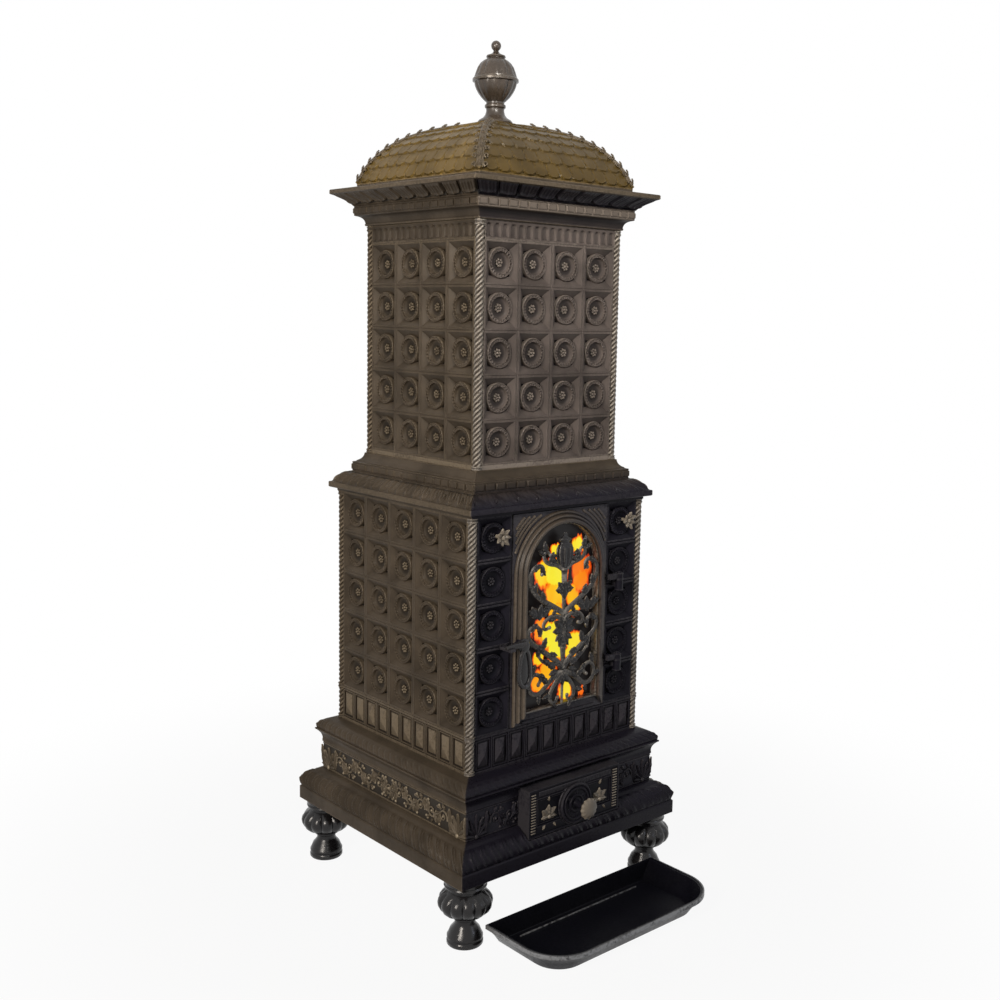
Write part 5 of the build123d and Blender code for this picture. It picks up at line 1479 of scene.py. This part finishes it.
# %% Cast the hinge barrels
bm = bmesh.new()
for level in HINGE_LEVELS:
    pin = [(0, level - 12.0), (8.0, level - 12.0), (9.0, level - 11.0), (9.0, level - 9.5),
           (8.2, level - 9.0), (8.2, level + 9.0), (9.0, level + 9.5), (9.0, level + 11.4),
           (8.4, level + 12.0), (4.0, level + 12.0), (4.0, level + 26.0), (3.0, level + 27.3),
           (0, level + 27.3)]
    lathe(bm, pin, 28, moved(*HINGE, 0))
    slab(bm, (145.0, HINGE[1] + 3.0, level - 5.0), (157.0, -228.0, level + 5.0), bevel=1.2)
cast("hinge_barrels", bm, "stove_body", "door_iron", ["hinge_brackets"])

# %% [markdown]
# ## The openwork grille
# Before the panes stands a grille of two hearts on a stem, an urn above and scrolls below, all with leaves.
# Flattened round bars that follow smooth lines make the scrollwork, mirrored about the stem.

# %% Draw the grille
GRILLE_FACE, RIM_FACE = 240.5, 234.6
ARMS = (
    ([(0, 610), (14, 618), (30, 628), (58, 643), (80, 661), (92, 682), (90, 703), (76, 715), (60, 713),
      (55, 703), (62, 697)], 5.6, 3.6),
    ([(6, 702), (20, 712), (38, 714), (54, 722), (57, 737), (46, 742), (40, 733)], 5.0, 3.0),
    ([(0, 497), (8, 506), (22, 518), (42, 531), (62, 545), (82, 558), (94, 572), (92, 588), (78, 595),
      (64, 589), (62, 578)], 5.8, 3.6),
    ([(0, 597), (14, 605), (32, 608), (48, 602), (56, 590), (48, 581), (39, 586)], 5.0, 3.2),
    ([(0, 490), (20, 484), (40, 470), (62, 451), (84, 457), (92, 478), (80, 497), (62, 493), (57, 480),
      (66, 473)], 5.4, 3.4),
    ([(0, 488), (14, 474), (28, 458), (35, 442), (28, 427), (15, 428), (13, 438)], 4.8, 3.0),
    ([(0, 502), (18, 508), (40, 512), (58, 520), (66, 532)], 4.2, 2.6),
)
LEAVES = (
    (66, 604, 10, 1.25), (60, 610, 48, 1.1), (72, 608, -28, 1.15), (74, 616, -62, 0.95), (58, 622, 80, 0.85),
    (30, 626, -82, 0.9), (52, 640, -20, 0.9), (80, 658, 12, 0.9), (86, 705, 58, 0.9), (64, 712, 150, 0.8),
    (40, 716, 20, 0.9), (50, 738, -14, 0.95), (56, 736, -60, 0.7), (38, 734, 110, 0.6), (22, 712, -40, 0.8),
    (44, 604, 100, 0.8), (30, 607, 30, 0.7), (58, 588, -150, 0.7), (90, 584, 50, 0.9), (66, 592, 170, 0.8),
    (40, 530, 100, 0.9), (56, 542, 20, 1.0), (72, 552, 120, 0.9), (64, 528, -20, 0.8), (34, 510, -60, 0.9),
    (20, 486, -130, 0.9), (40, 472, -50, 0.9), (62, 452, -170, 0.7), (88, 466, -60, 0.8), (84, 494, 20, 0.9),
    (64, 494, 120, 0.7), (20, 500, -60, 1.0), (14, 494, -104, 0.9), (34, 446, -100, 0.8), (24, 428, 150, 0.6),
)
CENTRE_LEAVES = (
    (0, 655, 40, 1.0), (0, 655, 78, 0.9), (0, 668, 112, 0.85), (0, 672, 180, 1.3), (0, 655, 0, 0.9),
    (0, 580, 58, 1.15), (0, 576, 92, 1.1), (0, 570, 124, 1.0), (0, 566, 152, 1.0), (0, 560, 180, 1.0),
    (0, 584, 26, 0.9), (0, 486, 150, 0.9), (0, 484, 180, 0.9), (0, 492, 40, 0.7),
)
STEM = [(0, 424), (0, 470), (0, 498), (0, 520), (0, 548), (0, 600), (0, 612), (0, 640), (0, 690)]
STEM_RADII = [3.2, 3.6, 3.4, 5.5, 9.0, 4.5, 3.2, 5.5, 7.5]
URN = [(0, 688), (7.5, 690), (8.5, 696), (8.0, 702), (14, 707), (20, 717), (23, 730), (22.5, 742), (18, 750),
       (12, 753), (11, 756), (16, 759), (16, 762), (9, 766), (5, 769), (6, 772), (3, 775), (0, 776)]
KNOTS = ((700, 10.0), (548, 11.0), (540, 9.0), (490, 9.0), (596, 9.0))
print("arms:", len(ARMS), "leaves:", len(LEAVES + CENTRE_LEAVES))

# %% Cast the grille
def urn_ribs(turn, z):
    return 1 - 0.22 * (1 - abs(math.cos(5 * turn))) if 700 < z < 750 else 1.0


def scrollwork():
    """Two hearts on a stem with their scrolls and leaves; the flat leaves turn their rounded side out."""
    half = bmesh.new()
    for line, thick, thin in ARMS:
        stamp(half, bar_pattern(line, taper(len(line), 1.15 * thick, 1.1 * thin), 0.62, resolution=3))
        stamp(half, bead, moved(line[-1][0], line[-1][1], 1.6) @ sized(1.4, 1.4, 1.2))
    for x, z, angle, size in LEAVES + CENTRE_LEAVES:
        stamp(half, leaf, moved(x, z, 1.0) @ turned(angle) @ sized(size, 0.9 * size, 1.15))
    pattern = as_mesh(half)
    bm = bmesh.new()
    stamp(bm, pattern)
    stamp(bm, pattern, MIRROR)
    stamp(bm, bar_pattern(STEM, STEM_RADII, 0.6, resolution=2))
    urn = bmesh.new()
    lathe(urn, URN, 60, wave=urn_ribs)
    stamp(bm, as_mesh(urn), sized(1, 1, 0.42) @ turned(-90, "X") @ UPSIDE_DOWN)
    for z, width in KNOTS:
        stamp(bm, bead, moved(0, z, 1.6) @ sized(width / 3, 1.2, 1.4))
    return as_mesh(bm)


rim = bmesh.new()
arch_sweep(rim, [(103.0, -12.0), (103.0, -4.4), (99.8, -4.4), (99.8, 2.6), (98.8, 4.0), (97.6, 4.0),
                 (96.8, 2.8), (96.8, -12.0)], lambda radius: SILL)
slab(rim, (-99.5, SILL, -12.0), (99.5, SILL + 3.6, 3.6), bevel=0.8)
bm = bmesh.new()
stamp(bm, as_mesh(rim), on_side("front", 0, 0, RIM_FACE))
stamp(bm, scrollwork(), on_side("front", 0, 0, GRILLE_FACE))
cast("heart_grille", bm, "fire_door", "door_iron", ["door_grille"], crease=50, finish="grille_iron")

# %% [markdown]
# ## The latch handle
# A grip shaped like a spoon hangs from a round hub on the door's boss, and an arm reaches over the keeper.
# The grip is a wide bar squashed flat, and a closed bar makes the raised rim round it; the hub and its
# spindle are turned.

# %% Cast the handle
HUB = [(0, 221.9), (4.9, 221.9), (4.9, 249.1), (12.5, 249.1), (14.0, 250.6), (14.0, 253.0), (11.5, 254.4),
       (11.5, 257.0), (9.0, 259.8), (5.5, 261.0), (0, 261.1)]
GRIP = [(0, -4), (0, -14), (0, -30), (0, -48), (0, -64), (0, -76), (0, -82)]
GRIP_RADII = [7.0, 8.0, 11.0, 13.5, 14.5, 12.0, 5.0]
GRIP_RIM = [(0, -6), (8, -14), (12, -30), (14.5, -50), (14.0, -68), (8, -79), (0, -82), (-8, -79),
            (-14.0, -68), (-14.5, -50), (-12, -30), (-8, -14)]
GRIP_RIM_RADII = [5.2, 4.6, 4.0, 4.0, 4.6, 5.2, 5.4, 5.2, 4.6, 4.0, 4.0, 4.6]
ARM = [(0, 3), (-14, 4), (-30, 4), (-44, 4), (-48, 3)]
ARM_RADII = [9.0, 7.6, 5.6, 4.6, 3.4]
bm = bmesh.new()
lathe(bm, HUB, 36, moved(LATCH[0], 0, LATCH[1]) @ turned(90, "X"))
stamp(bm, bar_pattern(GRIP, GRIP_RADII, 0.28), on_side("front", *LATCH, 253.6))
stamp(bm, bar_pattern(GRIP_RIM, GRIP_RIM_RADII, 1.0, closed=True), on_side("front", *LATCH, 255.1))
stamp(bm, bar_pattern(ARM, ARM_RADII, 0.75), on_side("front", *LATCH, 255.1))
cast("looped_handle", bm, "door_handle", "door_iron", ["latch_handle"], finish="foot_iron")

# %% [markdown]
# ## The ash drawer and its air regulator
# The drawer front is a deep box with a row of ribs along its top and a sunk field. A ladder of bright beads
# runs down each end and a worn flower stands on each side of the middle, where the regulator turns: rings
# round a knob like a shell. What is worn bright is set on as pieces with a finish of their own.

# %% Cast the drawer front
DRAWER_FACE, DRAWER_LOW, DRAWER_HIGH, DRAWER_DEPTH, DRAWER_HALF = 288.0, 181.5, 280.0, 33.7, 124.0
REGULATOR_Z = 226.75
FIELD_STEPS = ((1.0, 0.0), (0.8, 0.0), (2.4, 0.0), (0.5, -1.6), (15.0, 0.0), (0.6, 1.6), (2.0, 0.0),
               (0.6, -2.6), (1.6, 0.0), (0.5, 1.2), (1.4, 0.0), (0.6, -1.6))
RUNGS, RIBS = 15, 46
FLOWER = ((-70, 214, 0, 1.1), (-68, 216, 52, 1.05), (-72, 216, -52, 1.05), (-68, 217, 96, 0.9),
          (-72, 217, -96, 0.9), (-70, 248, 8, 0.5), (-58, 203, -150, 0.55), (-80, 204, 150, 0.55))
drawer_front = on_side("front", 0, 0, DRAWER_FACE)
towards_you = moved(0, 0, REGULATOR_Z) @ turned(90, "X")


def rung_pattern():
    bm = bmesh.new()
    slab(bm, (-5.6, -1.5, -1.0), (5.6, 1.5, 1.3), bevel=0.6)
    return as_mesh(bm)


def ladders(bm, z, place=HERE):
    """A ladder of rungs down each end of the box."""
    for number in range(RUNGS):
        for sign in (-1, 1):
            stamp(bm, rung, moved(sign * 112.3, DRAWER_LOW + 10.0 + number * 5.6, z) @ place)


rung = rung_pattern()
flowers = bmesh.new()
ladders(flowers, -0.9, sized(1.05, 0.8, 1.1))
for flip in (HERE, MIRROR):
    for x, z, angle, size in FLOWER:
        stamp(flowers, leaf, flip @ moved(x, z, -3.6) @ turned(angle) @ sized(size, 0.8 * size, 1.2))
    stamp(flowers, bead, flip @ moved(-70, 216, -0.6) @ sized(1.5, 1.5, 1.2))
bm = bmesh.new()
stamp(bm, as_mesh(flowers), drawer_front)
cast("drawer_flowers", bm, "ash_drawer", "door_iron", finish="worn_iron")

box = bmesh.new()
slab(box, (-DRAWER_HALF, DRAWER_LOW, -DRAWER_DEPTH), (DRAWER_HALF, DRAWER_HIGH, 0.0))
inset(box, innermost(box), ((6.0, 0.0), (0.2, -24.5)))
inset(box, outermost(box), FIELD_STEPS)
ladders(box, -1.2)
for number in range(RIBS):
    stamp(box, rung, moved(-96.0 + number * 4.27, DRAWER_HIGH - 11.6, -1.2) @ sized(0.5, 3.4, 1.0))
bm = bmesh.new()
stamp(bm, as_mesh(box), drawer_front)
lathe(bm, [(3.2, 283.5), (44.0, 283.5), (45.0, 286.5), (43.8, 288.0), (3.2, 288.0), (3.2, 283.5)], 48,
      towards_you)
cast("drawer_box_front", bm, "ash_drawer", "door_iron", ["ash_drawer_front"])

# %% Cast the regulator and its knob
REGULATOR = [(0, 288.3), (41.0, 288.3), (42.0, 289.3), (42.0, 291.5), (40.0, 293.6), (38.0, 293.6),
             (36.0, 291.2), (34.5, 291.2), (33.0, 294.0), (30.5, 294.0), (28.5, 290.8), (20.0, 290.8),
             (18.5, 293.6), (16.0, 294.2), (13.0, 292.0), (9.0, 293.0), (7.0, 297.0), (6.5, 318.0),
             (8.0, 321.0), (0, 322.0)]
SHELL = [(0, 0), (9.0, 1.5), (17.0, 5.0), (21.5, 8.5), (22.0, 11.0), (19.0, 14.0), (12.0, 16.5), (0, 17.5)]
bm = bmesh.new()
lathe(bm, REGULATOR, 60, towards_you)
for number in range(6):
    stamp(bm, small_leaf, on_side("front", 0, REGULATOR_Z, 290.5) @ turned(60 * number) @ moved(0, 15.5, 0)
          @ sized(0.9, 0.75, 0.8))
cast("rosette_regulator", bm, "air_regulator", "door_iron", ["air_regulator"])
shell = bmesh.new()
lathe(shell, SHELL, 64, wave=lambda turn, z: 1 - 0.09 * (1 - abs(math.cos(6 * turn))))
bm = bmesh.new()
stamp(bm, as_mesh(shell), towards_you @ moved(0, 0, 317.6))
cast("shell_knob", bm, "air_regulator", "door_iron", finish="worn_iron")

# %% [markdown]
# ## The hearth tray
# A loose tray lies on the floor before the stove to catch embers: a straight back, two round front corners
# and sides that fall in to its floor. A block has its two front corners bevelled, then its faces are inset.

# %% Cast the tray
TRAY_BACK, TRAY_FRONT, TRAY_HALF, TRAY_TOP, TRAY_EDGE = 289.5, 487.5, 231.5, 43.5, 8.0
CORNER_RADIUS = 87.0
TOP_STEPS = ((4.0, 0.0), (1.4, -1.2), (2.6, 0.0), (2.0, -4.0), (18.0, -22.0), (7.0, -10.0), (5.0, -1.3))
UNDER_STEPS = ((3.0, 0.0), (2.0, 1.5), (14.0, 16.0), (10.0, 15.0), (4.0, 3.0))


def is_front_corner(edge):
    upright = abs(edge.verts[0].co.z - edge.verts[1].co.z) > 1.0
    return upright and all(vert.co.y < -TRAY_BACK - 50.0 for vert in edge.verts)


bm = bmesh.new()
slab(bm, (-TRAY_HALF, -TRAY_FRONT, TRAY_TOP - TRAY_EDGE), (TRAY_HALF, -TRAY_BACK, TRAY_TOP))
corners = [edge for edge in bm.edges if is_front_corner(edge)]
bmesh.ops.bevel(bm, geom=corners, offset=CORNER_RADIUS, segments=18, profile=0.5, affect="EDGES", material=-1)
top, under = outermost(bm), innermost(bm)
inset(bm, top, TOP_STEPS)
inset(bm, under, UNDER_STEPS)
for vert in bm.verts:
    depth = -TRAY_BACK - vert.co.y
    if 0.01 < depth < 41.0 and abs(vert.co.x) < TRAY_HALF - 0.5 and vert.co.z > -4.0:
        vert.co.y = -TRAY_BACK - 0.22 * depth
slab(bm, (-0.7 * TRAY_HALF, -TRAY_BACK - 24.0, 4.0), (0.7 * TRAY_HALF, -TRAY_BACK - 20.5, 7.4), bevel=1.2)
cast("ember_tray", bm, "hearth_tray", "tray_iron", ["hearth_tray"], crease=45)
